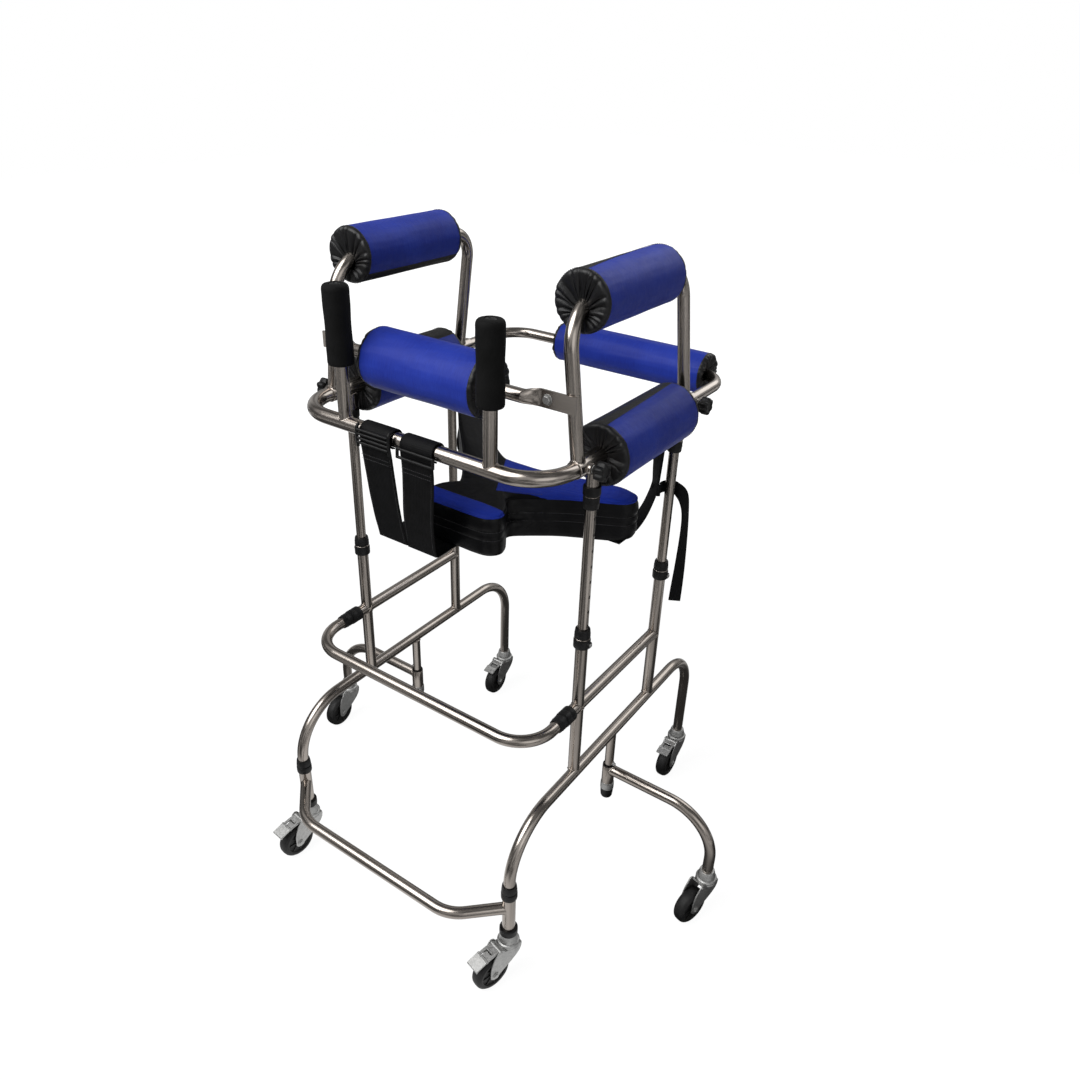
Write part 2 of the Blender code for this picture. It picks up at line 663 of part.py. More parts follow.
def chest_bar():
    """Straight tube with flattened ends that bolt against the front of the arches."""
    thickness, height = CHEST_PLATE
    plate_y = ARCH_FRONT - TUBE - 2 * GAP - thickness / 2

    def round_ring(x):
        angles = [math.tau * step / TUBE_SIDES for step in range(TUBE_SIDES)]
        return [(x, CHEST_BAR_Y + TUBE * math.cos(a), CHEST_BAR_Z + TUBE * math.sin(a)) for a in angles]

    def flat_ring(x):
        ring = []
        for step in range(TUBE_SIDES):
            angle = math.tau * (step + 0.001) / TUBE_SIDES
            across = math.copysign(min(1.0, abs(math.cos(angle)) * 8), math.cos(angle))
            ring.append((x, plate_y + thickness / 2 * across, CHEST_BAR_Z + height / 2 * math.sin(angle)))
        return ring

    rings = [flat_ring(-CHEST_BAR_END), flat_ring(-CHEST_BAR_FLAT), round_ring(-CHEST_BAR_ROUND),
             round_ring(CHEST_BAR_ROUND), flat_ring(CHEST_BAR_FLAT), flat_ring(CHEST_BAR_END)]
    return lofted(rings)


def roll_profile(measures, bore):
    """Half section of a padded roll along its bar, with rounded ends."""
    radius, low, high = measures
    steps = 3
    profile = [(bore, low + 0.0010)]
    for step in range(steps + 1):
        angle = math.radians(90) * step / steps
        profile.append((radius - ROLL_EDGE * (1 - math.sin(angle)), low + ROLL_EDGE * (1 - math.cos(angle))))
    return profile + [(size, low + high - height) for size, height in reversed(profile)]


def straight_roll(axis, place, measures, bore):
    return turned(roll_profile(measures, bore), place, axis=axis, sides=ROLL_SIDES)


def threaded_roll(axis, place, measures, path):
    """A roll whose bar bends inside it: the bar's own path is cut out of it."""
    solid = turned(roll_profile(measures, 0.0), place, axis=axis, sides=ROLL_SIDES)
    return hollowed(solid, [bent(filleted(path), TUBE + GAP)])


def seat_outline():
    """Half of the seat seen from above: broad wings behind, a narrow waist, a blunt front."""
    return [
        (0.000, -0.180), (0.040, -0.180), (0.062, -0.175), (0.073, -0.160), (0.066, -0.138),
        (0.052, -0.122), (0.050, -0.108), (0.062, -0.094), (0.085, -0.076), (0.110, -0.058),
        (0.140, -0.041), (0.175, -0.024), (0.196, -0.010), (0.201, 0.008), (0.190, 0.024),
        (0.160, 0.028), (0.110, 0.018), (0.050, 0.006), (0.000, 0.003),
    ]


def seat_place(x, y, z):
    """A point of the flat seat moved to its place, with the left wing curled up by its strap."""
    rise = max(0.0, CURL_START - x)
    lift = CURL_RISE * rise * rise / 2
    return (x + SEAT_SHIFT + rise * CURL_DRAW, y + rise * CURL_SWEEP, z + SEAT_BOTTOM + lift)


def seat():
    """Padded sling seat: crowned top, drawn-in sides, its left wing curled up by its strap."""
    half = seat_outline()
    outline = half + [(-x, y) for x, y in reversed(half[1:-1])]
    layers = [(0.93, 0.000), (0.99, 0.007), (1.0, 0.018), (0.98, 0.034), (1.0, 0.050), (0.98, 0.062),
              (0.88, 0.069), (0.55, 0.072)]
    rings = []
    for scale, height in layers:
        rings.append([seat_place(x * scale, SEAT_DEPTH_MIDDLE + (y - SEAT_DEPTH_MIDDLE) * scale, height)
                      for x, y in outline])
    return lofted(rings)


def ribbon(points, width_axes, width, thickness):
    """A flat strap along a path: width_axes gives the direction of its width at each point."""
    rings = []
    for index, point in enumerate(points):
        along = Vector(points[min(index + 1, len(points) - 1)]) - Vector(points[max(index - 1, 0)])
        along.normalize()
        across = Vector(width_axes[index])
        across = (across - along * across.dot(along)).normalized()
        normal = along.cross(across)
        corners = ((-1, -1), (1, -1), (1, 1), (-1, 1))
        rings.append([Vector(point) + across * w * width / 2 + normal * t * thickness / 2
                      for w, t in corners])
    return lofted(rings)


def smooth_points(anchors, steps):
    """Points of a smooth curve through the anchors."""
    result = []
    last = len(anchors) - 1
    for index in range(last):
        p0 = Vector(anchors[max(index - 1, 0)])
        p1, p2 = Vector(anchors[index]), Vector(anchors[index + 1])
        p3 = Vector(anchors[min(index + 2, last)])
        for step in range(steps):
            t = step / steps
            result.append(0.5 * ((2 * p1) + (p2 - p0) * t + (2 * p0 - 5 * p1 + 4 * p2 - p3) * t * t
                                 + (3 * p1 - p0 - 3 * p2 + p3) * t * t * t))
    result.append(Vector(anchors[last]))
    return result


def front_strap():
    """Two webbing loops round the grip bar that hang to a hem under the seat's front."""
    inner = snug(GRIP_BAR, FINE_SIDES)
    outer = inner + STRAP
    hem_top = SEAT_BOTTOM - GAP
    panel_y = GRIP_BAR_Y - inner - STRAP / 2
    pieces = []
    for (left, right), (hem_left, hem_right) in zip(LOOP_EDGES, HEM_EDGES):
        ring = turned([(inner, left), (outer, left), (outer, right), (inner, right)],
                      (0, GRIP_BAR_Y, SIDE_Z), axis="X", sides=FINE_SIDES)
        rings = []
        for start, end, y, z in ((left + GAP, right - GAP, panel_y, SIDE_Z),
                                 (hem_left, hem_right, HEM_Y, hem_top - STRAP / 2)):
            rings.append([(start, y - STRAP / 2, z), (end, y - STRAP / 2, z),
                          (end, y + STRAP / 2, z), (start, y + STRAP / 2, z)])
        core = rod((left - 0.01, GRIP_BAR_Y, SIDE_Z), (right + 0.01, GRIP_BAR_Y, SIDE_Z), inner + STRAP / 2,
                   FINE_SIDES)
        pieces.append(combined(ring, [combined(lofted(rings), [core], "DIFFERENCE")]))
    hem = block((HEM_EDGES[0][0] + 0.004, HEM_Y - 0.0006, hem_top - STRAP),
                (HEM_EDGES[1][1] - 0.004, HEM_REACH, hem_top))
    return combined(hem, pieces)


def under_seat(rise, depth):
    """A point depth metres below the seat's underside, rise metres past the start of its curl."""
    tilt = math.atan2(CURL_RISE * rise, 1 - CURL_DRAW)
    x = CURL_START + SEAT_SHIFT - rise * (1 - CURL_DRAW)
    z = SEAT_BOTTOM + CURL_RISE * rise * rise / 2
    return (x - depth * math.sin(tilt), rise * CURL_SWEEP - 0.004, z - depth * math.cos(tilt))


def rear_strap():
    """Webbing from both side tubes under the seat's wings, with a free tail round a rear leg."""
    column_x, column_y = HALF_WIDTH - COLUMN_INSET, UPRIGHT_Y - COLUMN_FORWARD
    depth = STRAP / 2 + 2 * GAP
    below = SEAT_BOTTOM - depth
    drop = smooth_points([
        (column_x, column_y, SIDE_Z), (column_x, column_y, 0.745), (column_x, column_y - 0.003, 0.716),
        (column_x, 0.084, 0.690), (column_x, 0.050, 0.676), (column_x, 0.022, below),
        (column_x, -0.016, below),
    ], 2)
    right = ribbon(drop, [(1, 0, 0)] * len(drop), REAR_STRAP_WIDTH, STRAP)
    across = [(column_x + 0.010, -0.004, below - GAP), (0.0, -0.004, below - GAP)]
    across += [under_seat(0.03 * step, depth + GAP) for step in range(6)]
    across += [(-0.140, 0.060, 0.762), (-0.168, 0.090, 0.768), (-0.192, column_y, 0.790),
               (-column_x, column_y, SIDE_Z)]
    axes = [(0, 1, 0)] * 8 + [(0.25, 1, 0), (0.7, 0.5, 0), (1, 0, 0), (1, 0, 0)]
    left = ribbon(across, axes, REAR_STRAP_WIDTH, STRAP - GAP)
    tail = [(column_x - 0.005, column_y - 0.002, TAIL_Z)]
    for degrees in (220, 190, 160, 130, 100, 75):
        angle = math.radians(degrees)
        x, y = TAIL_RADIUS * math.cos(angle), TAIL_RADIUS * math.sin(angle)
        tail.append((HALF_WIDTH + x, UPRIGHT_Y + y, TAIL_Z))
    for outward, drop_by in TAIL_FALL:
        tail.append((HALF_WIDTH + outward, UPRIGHT_Y + TAIL_BEHIND, TAIL_Z - drop_by))
    tail_axes = [(0, 0, 1)] * 7 + [(0.2, 0.7, 0.7), (0, 1, 0.2), (0, 1, 0), (0, 1, 0)]
    strap = combined(right, [left, ribbon(tail, tail_axes, TAIL_WIDTH, TAIL_THICKNESS)])
    tubes = [rod((side * SIDE_X, 0.0, SIDE_Z), (side * SIDE_X, SIDE_REAR, SIDE_Z), snug(SIDE_TUBE))
             for _, side in SIDES]
    return hollowed(strap, tubes)


def build_base():
    for name, side in SIDES:
        x = HALF_WIDTH * side
        add(f"side_frame_{name}", side_frame(side), STEEL)
        add(f"middle_connector_{name}", middle_connector(x), BLACK_PLASTIC)
        add(f"front_leg_collar_{name}", front_leg_collar(FRONT_LEG[0] * side, FRONT_LEG[1]), BLACK_PLASTIC)
        for end_name, end in ENDS:
            centre = (x, UPRIGHT_Y * end, HEIGHT_BUTTON_Z)
            add(f"upright_collar_{end_name}_{name}", upright_collar(x, UPRIGHT_Y * end, side), BLACK_PLASTIC)
            button = push_button(centre, side, 0.0108, 0.0166)
            add(f"height_button_{end_name}_{name}", button, BLACK_PLASTIC, centre)
    add("middle_bar", middle_bar(), STEEL)
    add("front_crossbar", front_crossbar(), STEEL)


def build_outriggers():
    for name, side in SIDES:
        x = HALF_WIDTH * side
        add(f"outrigger_arm_{name}", outrigger_arm(side), STEEL, (x, 0, ARM_Z))
        centre = (x, 0, STUB_BUTTON_Z)
        add(f"outrigger_button_{name}", push_button(centre, side, 0.0062, 0.0124), BLACK_PLASTIC, centre)


def build_casters():
    for name, side in SIDES:
        caster(f"front_{name}", FRONT_LEG[0] * side, FRONT_LEG[1], True)
        caster(f"rear_{name}", HALF_WIDTH * side, REAR_LEG_Y, True)
        caster(f"outer_{name}", ARM_REACH * side, 0.0, False)


def build_upper_frame():
    for name, side in SIDES:
        add(f"arm_frame_{name}", arm_frame(side), STEEL)
        for end_name, end in ENDS:
            collar = upper_collar(HALF_WIDTH * side, UPRIGHT_Y * end)
            add(f"upper_collar_{end_name}_{name}", collar, BLACK_PLASTIC)
            knob = star_knob(side, GRIP_BAR if end_name == "front" else TUBE)
            centre = (SIDE_X * side, KNOB_Y[end_name], SIDE_Z)
            knob.transform(Matrix.Translation(centre))
            add(f"star_knob_{end_name}_{name}", knob, BLACK_PLASTIC, centre)
        add(f"grip_{name}", grip(side), FOAM)
    add("grip_bar", grip_bar(), STEEL)
    add("back_bar", back_bar(), STEEL)
    add("chest_bar", chest_bar(), STEEL)


def build_soft_goods():
    for name, side in SIDES:
        place = (side * ARCH_TOP_X, 0, ARCH_TOP_Z)
        add(f"underarm_roll_{name}", threaded_roll("Y", place, ARM_ROLL, arch_path(side)), BLUE_CLOTH)
        place = (side * SIDE_X, 0, SIDE_Z)
        add(f"waist_roll_{name}", straight_roll("Y", place, WAIST_ROLL, SIDE_TUBE + GAP), BLUE_CLOTH)
    place = (0, CHEST_BAR_Y, CHEST_BAR_Z)
    add("chest_roll", straight_roll("X", place, CHEST_ROLL, TUBE + GAP), BLUE_CLOTH)
    bar = [
        ((-SIDE_X, SIDE_REAR, SIDE_Z), 0), ((-SIDE_X, BACK_BAR_Y, SIDE_Z), BACK_BAR_BEND),
        ((SIDE_X, BACK_BAR_Y, SIDE_Z), BACK_BAR_BEND), ((SIDE_X, SIDE_REAR, SIDE_Z), 0),
    ]
    add("back_roll", threaded_roll("X", (0, BACK_BAR_Y, SIDE_Z), BACK_ROLL, bar), BLUE_CLOTH)
    add("seat", seat(), BLUE_CLOTH)
    add("front_strap", front_strap(), BLACK_CLOTH)
    add("rear_strap", rear_strap(), BLACK_CLOTH)


clear_scene()
build_base()
build_outriggers()
build_casters()
build_upper_frame()
build_soft_goods()
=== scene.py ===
import math

import bmesh
import bpy
from mathutils import Matrix, Vector, noise


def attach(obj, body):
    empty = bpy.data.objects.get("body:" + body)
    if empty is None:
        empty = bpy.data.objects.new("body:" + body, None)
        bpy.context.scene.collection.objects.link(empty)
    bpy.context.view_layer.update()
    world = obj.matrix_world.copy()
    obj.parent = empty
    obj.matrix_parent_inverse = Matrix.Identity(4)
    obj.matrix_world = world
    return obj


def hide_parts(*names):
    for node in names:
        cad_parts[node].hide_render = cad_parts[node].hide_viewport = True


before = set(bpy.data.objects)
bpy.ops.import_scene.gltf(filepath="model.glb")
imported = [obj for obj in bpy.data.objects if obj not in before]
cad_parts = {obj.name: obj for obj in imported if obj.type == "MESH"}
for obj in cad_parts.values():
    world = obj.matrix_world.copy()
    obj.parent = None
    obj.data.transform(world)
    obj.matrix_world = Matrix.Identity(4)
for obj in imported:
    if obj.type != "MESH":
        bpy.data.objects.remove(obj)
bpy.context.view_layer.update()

# Side frames: each is one stainless tube bent down into a front and a rear leg, with two
# uprights, an upper rail and an outrigger stub welded to it. The welds are ground back to a
# fine rippled bead and the tube is brushed along its length.
SIDES = (("right", 1), ("left", -1))
ENDS = (("front", -1), ("rear", 1))
TUBE, LEG = 0.0095, 0.0080
HALF_WIDTH, UPRIGHT_Y, UPRIGHT_TOP = 0.225, 0.123, 0.568
LOWER_RAIL_Z, UPPER_RAIL_Z, UPPER_RAIL_FRONT = 0.300, 0.435, -0.1645
FRONT_LEG, REAR_LEG_Y = (0.2285, -0.300), 0.295
FRONT_BEND, REAR_BEND = 0.095, 0.085
LEG_FOOT_Z, FRONT_JOINT_Z, SPIGOT, STUB_FOOT_Z = 0.0955, 0.194, 0.045, 0.172
WELD_BEAD, WELD_STEPS, WELD_RIPPLE = 0.0011, 72, 0.16


class Shade:
    """One value of a finish: sums and products of shades add their Math nodes."""

    def __init__(self, graph, socket):
        self.graph, self.socket = graph, socket

    def __add__(self, other):
        return self.graph.maths("ADD", self, other)

    def __sub__(self, other):
        return self.graph.maths("SUBTRACT", self, other)

    def __rsub__(self, other):
        return self.graph.maths("SUBTRACT", other, self)

    def __mul__(self, other):
        return self.graph.maths("MULTIPLY", self, other)

    __radd__ = __add__
    __rmul__ = __mul__


class Graph:
    """The nodes of a finish or of a repeated detail."""

    def __init__(self, tree, kind):
        self.tree, self.kind = tree, kind

    def node(self, kind, settings=None, values=None, output=0):
        """A node of any type: first its settings, then its sockets' values or links."""
        item = self.tree.nodes.new(kind)
        for name, setting in (settings or {}).items():
            setattr(item, name, setting)
        for name, value in (values or {}).items():
            self.feed(item.inputs[name], value)
        return Shade(self, item.outputs[output])

    def feed(self, socket, value):
        if isinstance(value, Shade):
            self.tree.links.new(value.socket, socket)
        else:
            socket.default_value = value

    def maths(self, operation, *terms):
        return self.node(self.kind + "Math", {"operation": operation}, dict(enumerate(terms)))


class Finish(Graph):
    """A material on a Principled shader, its even values set straight on the shader."""

    def __init__(self, name, **even):
        self.material = bpy.data.materials.new(name)
        self.material.use_nodes = True
        super().__init__(self.material.node_tree, "ShaderNode")
        self.shader = self.tree.nodes["Principled BSDF"]
        for socket, value in even.items():
            self.shader.inputs[socket.replace("_", " ")].default_value = value

    def place(self):
        """The point on the piece, in metres."""
        return self.node("ShaderNodeTexCoord", output="Object")

    def lay(self, stretch=(1, 1, 1)):
        """The place along the piece's own surface, in metres round it and along it."""
        point = self.node("ShaderNodeUVMap", {"uv_map": "lay"})
        return self.node("ShaderNodeMapping", None, {"Vector": point, "Scale": stretch})

    def grain(self, point, size, detail=2.0, rough=0.5):
        return self.node("ShaderNodeTexNoise", None, {
            "Vector": point, "Scale": size, "Detail": detail, "Roughness": rough})

    def wave(self, direction, size):
        """Bands across the lay: size is their phase in radians per metre, 20 to a unit of Scale."""
        return self.node("ShaderNodeTexWave", {"bands_direction": direction, "wave_profile": "SIN"},
                         {"Vector": self.lay(), "Scale": size / 20, "Distortion": 0.0}, output="Fac")

    def between(self, value, low, high):
        return self.node("ShaderNodeMapRange", None, {
            "Value": value, "From Min": low, "From Max": high})

    def mixed(self, share, first, second):
        return self.node("ShaderNodeMix", {"data_type": "RGBA"}, {0: share, 6: first, 7: second},
                         output=2)

    def bump(self, height, depth, under=None):
        values = {"Height": height, "Distance": depth, "Strength": 1.0}
        if under is not None:
            values["Normal"] = under
        return self.node("ShaderNodeBump", None, values)

    def done(self, **fed):
        for socket, value in fed.items():
            self.feed(self.shader.inputs[socket.replace("_", " ")], value)
        return self.material


def bent_line(corners, steps):
    """The centre line of a bent tube: each (corner, bend radius) becomes an arc."""
    points = [Vector(corners[0][0])]
    for (before, _), (corner, radius), (after, _) in zip(corners, corners[1:], corners[2:]):
        corner = Vector(corner)
        back = (Vector(before) - corner).normalized()
        ahead = (Vector(after) - corner).normalized()
        half = back.angle(ahead) / 2
        centre = corner + (back + ahead).normalized() * radius / math.sin(half)
        first = corner + back * radius / math.tan(half) - centre
        last = corner + ahead * radius / math.tan(half) - centre
        sweep = first.angle(last)
        for step in range(steps + 1):
            share = step / steps
            arc = first * math.sin(sweep * (1 - share)) + last * math.sin(sweep * share)
            points.append(centre + arc / math.sin(sweep))
    points.append(Vector(corners[-1][0]))
    return points


def skin(bm, rings, around=None, ends=True, loop=False):
    """Quads over rings of equal length, with the lay map in metres round and along them."""
    lay = bm.loops.layers.uv.get("lay") or bm.loops.layers.uv.new("lay")
    rows = [[bm.verts.new(point) for point in ring] for ring in rings]
    count = len(rows[0])
    if around is None:
        around = sum((Vector(rings[0][k]) - Vector(rings[0][k - 1])).length for k in range(count))
    height = 0.0
    pairs = list(zip(rows, rows[1:])) + ([(rows[-1], rows[0])] if loop else [])
    for lower, upper in pairs:
        rise = (upper[0].co - lower[0].co).length
        for k in range(count):
            after = (k + 1) % count
            face = bm.faces.new((lower[k], lower[after], upper[after], upper[k]))
            for corner, (u, v) in zip(face.loops, ((k, 0), (k + 1, 0), (k + 1, 1), (k, 1))):
                corner[lay].uv = (u * around / count, height + v * rise)
        height += rise
    if ends and not loop:
        bm.faces.new(list(reversed(rows[0])))
        bm.faces.new(rows[-1])
    return rows


def round_about(count):
    """The angles of points spaced evenly round a circle."""
    return [math.tau * k / count for k in range(count)]


def tube(bm, line, radius, sides=32, swell=None, loop=False):
    """A round bar along a line of points, turning as little as it can from point to point."""
    line = [Vector(point) for point in line]
    last = len(line) - 1
    axis = None
    rings = []
    for index, point in enumerate(line):
        if loop:
            along = line[(index + 1) % len(line)] - line[index - 1]
        else:
            along = line[min(index + 1, last)] - line[max(index - 1, 0)]
        along.normalize()
        if axis is None:
            axis = along.orthogonal().normalized()
        axis = (axis - along * axis.dot(along)).normalized()
        side = along.cross(axis)
        size = radius * (swell(index) if swell else 1.0)
        rings.append([point + (axis * math.cos(angle) + side * math.sin(angle)) * size
                      for angle in round_about(sides)])
    skin(bm, rings, math.tau * radius, loop=loop)


def weld(bm, centre, main_axis, main_radius, branch_axis, branch_radius, bead=WELD_BEAD):
    """The rippled bead along the saddle where a branch tube meets a main one."""
    centre, main_axis, branch = Vector(centre), Vector(main_axis).normalized(), Vector(branch_axis)
    branch.normalize()
    across = main_axis.cross(branch).normalized()
    up = branch.cross(across)
    line = []
    for angle in round_about(WELD_STEPS):
        off = across * math.cos(angle) * branch_radius + up * math.sin(angle) * branch_radius
        flat = branch - main_axis * branch.dot(main_axis)
        here = off - main_axis * off.dot(main_axis)
        a, b, c = flat.dot(flat), 2 * here.dot(flat), here.dot(here) - main_radius ** 2
        reach = (-b + math.sqrt(max(0.0, b * b - 4 * a * c))) / (2 * a)
        line.append(centre + off + branch * reach)
    tube(bm, line, bead, 8, lambda k: 1 + WELD_RIPPLE * math.cos(k * math.pi), loop=True)


def piece(name, bm, finishes, body, slot, *stands_for, crisp=38):
    """A finished mesh on its body, with its faces outwards and its sharp edges kept."""
    mesh = bpy.data.meshes.new(name)
    bmesh.ops.recalc_face_normals(bm, faces=bm.faces)
    bm.to_mesh(mesh)
    bm.free()
    for finish in finishes:
        mesh.materials.append(finish)
    mesh.shade_smooth()
    mesh.set_sharp_from_angle(angle=math.radians(crisp))
    made = bpy.data.objects.new(name, mesh)
    bpy.context.scene.collection.objects.link(made)
    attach(made, body)
    if stands_for:
        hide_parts(*stands_for)
    return made


steel = Finish("brushed_steel_tube", Metallic=1.0)
streak = steel.grain(steel.lay((420, 5, 1)), 1.0, 3.0, 0.6)
scuff = steel.grain(steel.place(), 38, 4.0, 0.65)
stain = steel.grain(steel.place(), 7, 3.0, 0.5)
steel_tube = steel.done(
    Base_Color=steel.mixed(steel.between(stain * 0.6 + streak * 0.4, 0.3, 0.7),
                           (0.27, 0.24, 0.215, 1), (0.44, 0.40, 0.365, 1)),
    Roughness=0.20 + scuff * 0.03,
    Normal=steel.bump(scuff, 0.000002))

for name, side in SIDES:
    x, leg_x, leg_y = HALF_WIDTH * side, FRONT_LEG[0] * side, FRONT_LEG[1]
    bm = bmesh.new()
    rail = [
        ((leg_x, leg_y, FRONT_JOINT_Z), 0), ((leg_x, leg_y, LOWER_RAIL_Z), FRONT_BEND),
        ((x, REAR_LEG_Y, LOWER_RAIL_Z), REAR_BEND), ((x, REAR_LEG_Y, LEG_FOOT_Z), 0),
    ]
    tube(bm, bent_line(rail, 20), TUBE)
    tube(bm, [(leg_x, leg_y, FRONT_JOINT_Z), (leg_x, leg_y, FRONT_JOINT_Z - SPIGOT)], LEG)
    tube(bm, [(x, 0, LOWER_RAIL_Z), (x, 0, STUB_FOOT_Z)], LEG)
    weld(bm, (x, 0, LOWER_RAIL_Z), (0, 1, 0), TUBE, (0, 0, -1), LEG)
    tube(bm, [(x, UPRIGHT_Y, UPPER_RAIL_Z), (x, UPPER_RAIL_FRONT, UPPER_RAIL_Z)], TUBE)
    for _, end in ENDS:
        y = UPRIGHT_Y * end
        tube(bm, [(x, y, LOWER_RAIL_Z), (x, y, UPRIGHT_TOP)], TUBE)
        weld(bm, (x, y, LOWER_RAIL_Z), (0, 1, 0), TUBE, (0, 0, 1), TUBE)
        weld(bm, (x, y, UPPER_RAIL_Z), (0, 0, 1), TUBE, (0, -1, 0), TUBE)
    weld(bm, (x, -UPRIGHT_Y, UPPER_RAIL_Z), (0, 0, 1), TUBE, (0, 1, 0), TUBE)
    piece(f"side_frame_tubes_{name}", bm, [steel_tube], "base_frame", "steel_tube",
          f"side_frame_{name}")


# Collars, connectors and their push buttons: moulded black clamp sleeves pressed over the ends
# of the tubes. The four on the uprights have a bright steel band round their middle, and a
# sprung button in a round boss that locks the height.
BUTTON, HEIGHT_BUTTON_Z = 0.0032, 0.5560
BUTTON_BOSS = [
    (0.0036, 0.0100), (0.0054, 0.0100), (0.0053, 0.0141), (0.0048, 0.0148), (0.0036, 0.0148),
    (0.0035, 0.0120),
]
FRONT_COLLAR = [
    (0.0096, 0.1780), (0.0128, 0.1780), (0.0130, 0.1800), (0.0130, 0.1880), (0.0126, 0.1898),
    (0.0115, 0.1902), (0.0115, 0.1918), (0.0124, 0.1923), (0.0125, 0.1945), (0.0118, 0.2010),
    (0.0112, 0.2045), (0.0096, 0.2045),
]
UPRIGHT_COLLAR = [
    (0.0096, 0.5490), (0.0126, 0.5490), (0.0130, 0.5500), (0.0130, 0.5618), (0.0126, 0.5632),
    (0.0115, 0.5636), (0.0115, 0.5668), (0.0122, 0.5674), (0.0123, 0.5690), (0.0119, 0.5720),
    (0.0122, 0.5732), (0.0119, 0.5745), (0.0113, 0.5800), (0.0108, 0.5810), (0.0082, 0.5810),
]
UPPER_COLLAR = [
    (0.0082, 0.7800), (0.0107, 0.7800), (0.0111, 0.7815), (0.0115, 0.7880), (0.0119, 0.7893),
    (0.0115, 0.7905), (0.0118, 0.7965), (0.0116, 0.7976), (0.0110, 0.7980), (0.0110, 0.8002),
    (0.0124, 0.8008), (0.0126, 0.8020), (0.0126, 0.8120), (0.0123, 0.8130), (0.0096, 0.8130),
]
CONNECTOR = [
    (0.0096, -0.1845), (0.0110, -0.1845), (0.0114, -0.1832), (0.0116, -0.1790), (0.0121, -0.1775),
    (0.0118, -0.1760), (0.0121, -0.1708), (0.0119, -0.1695), (0.0112, -0.1690), (0.0112, -0.1662),
    (0.0126, -0.1656), (0.0128, -0.1645), (0.0127, -0.1560), (0.0123, -0.1548), (0.0127, -0.1536),
    (0.0127, -0.1450), (0.0124, -0.1440), (0.0096, -0.1440),
]


def turned(bm, profile, place, axis="Z", sides=48):
    """A turned skin from (radius, height) points, closed where it reaches the axis."""
    turn = Matrix.Translation(place)
    if axis == "Y":
        turn = turn @ Matrix.Rotation(math.radians(-90), 4, "X")
    rings = []
    for radius, height in profile:
        rings.append([turn @ Vector((radius * math.cos(angle), radius * math.sin(angle), height))
                      for angle in round_about(sides)])
    widest = max(radius for radius, _ in profile)
    rows = skin(bm, rings, math.tau * widest, ends=False)
    for row, (radius, _) in ((rows[0], profile[0]), (rows[-1], profile[-1])):
        if radius == 0.0:
            bmesh.ops.remove_doubles(bm, verts=row, dist=0.0001)


def placed(bm, matrix, make, *details):
    """Adds what make builds at the origin to bm, moved by a matrix."""
    before = set(bm.verts)
    make(bm, *details)
    bmesh.ops.transform(bm, matrix=matrix, verts=[v for v in bm.verts if v not in before])


def fitted(bm, matrix, profile, sides=48):
    """A turned detail, set where a matrix puts it."""
    placed(bm, matrix, turned, profile, (0, 0, 0), "Z", sides)


def outward(place, side):
    """Lays what stands along Z on its side, pointing away from the walker's middle."""
    return Matrix.Translation(place) @ Matrix.Rotation(math.radians(90) * side, 4, "Y")


def eased(profile, edge=0.0004):
    """The profile with every corner cut back a little, as a moulded edge is."""
    result = [profile[0]]
    for before, corner, after in zip(profile, profile[1:], profile[2:]):
        here = Vector(corner)
        for other in (before, after):
            towards = Vector(other) - here
            step = min(edge, towards.length * 0.4)
            result.append(tuple(here + towards.normalized() * step))
    return result + [profile[-1]]


def band(bm, radius, low, high, place):
    """A thin steel ring round a clamp."""
    inner = radius - 0.001
    turned(bm, eased([(inner, low), (radius, low), (radius, high), (inner, high)], 0.0002), place)


def push_button(name, centre, side, start, end, body, node):
    """A domed sprung button along X."""
    bm = bmesh.new()
    fitted(bm, outward(centre, side), [
        (0.0, start), (BUTTON, start), (BUTTON, end - 0.0014), (BUTTON * 0.93, end - 0.0007),
        (BUTTON * 0.72, end - 0.0002), (BUTTON * 0.4, end), (0.0, end)], 28)
    piece(name, bm, [zinc_plate], body, "zinc_plate", node)


plastic = Finish("moulded_black_plastic", Specular_IOR_Level=0.28)
pores = plastic.grain(plastic.place(), 2400, 2.0)
rub = plastic.grain(plastic.place(), 60, 4.0, 0.6)
black_plastic = plastic.done(
    Base_Color=plastic.mixed(plastic.between(rub, 0.35, 0.75),
                             (0.002, 0.002, 0.0022, 1), (0.007, 0.007, 0.0075, 1)),
    Roughness=0.30 + rub * 0.22 + pores * 0.06,
    Normal=plastic.bump(pores, 0.00006))

plating = Finish("bright_zinc_plate", Metallic=1.0)
spangle = plating.node("ShaderNodeTexVoronoi", None, {"Vector": plating.place(), "Scale": 420.0},
                       output="Color")
flakes = plating.node("ShaderNodeSeparateColor", None, {"Color": spangle})
dull = plating.grain(plating.place(), 85, 5.0, 0.7)
zinc_plate = plating.done(
    Base_Color=plating.mixed(flakes * 0.4 + dull * 0.6,
                             (0.27, 0.27, 0.265, 1), (0.58, 0.58, 0.57, 1)),
    Roughness=0.34 + dull * 0.26 + flakes * 0.06,
    Normal=plating.bump(dull, 0.00012))

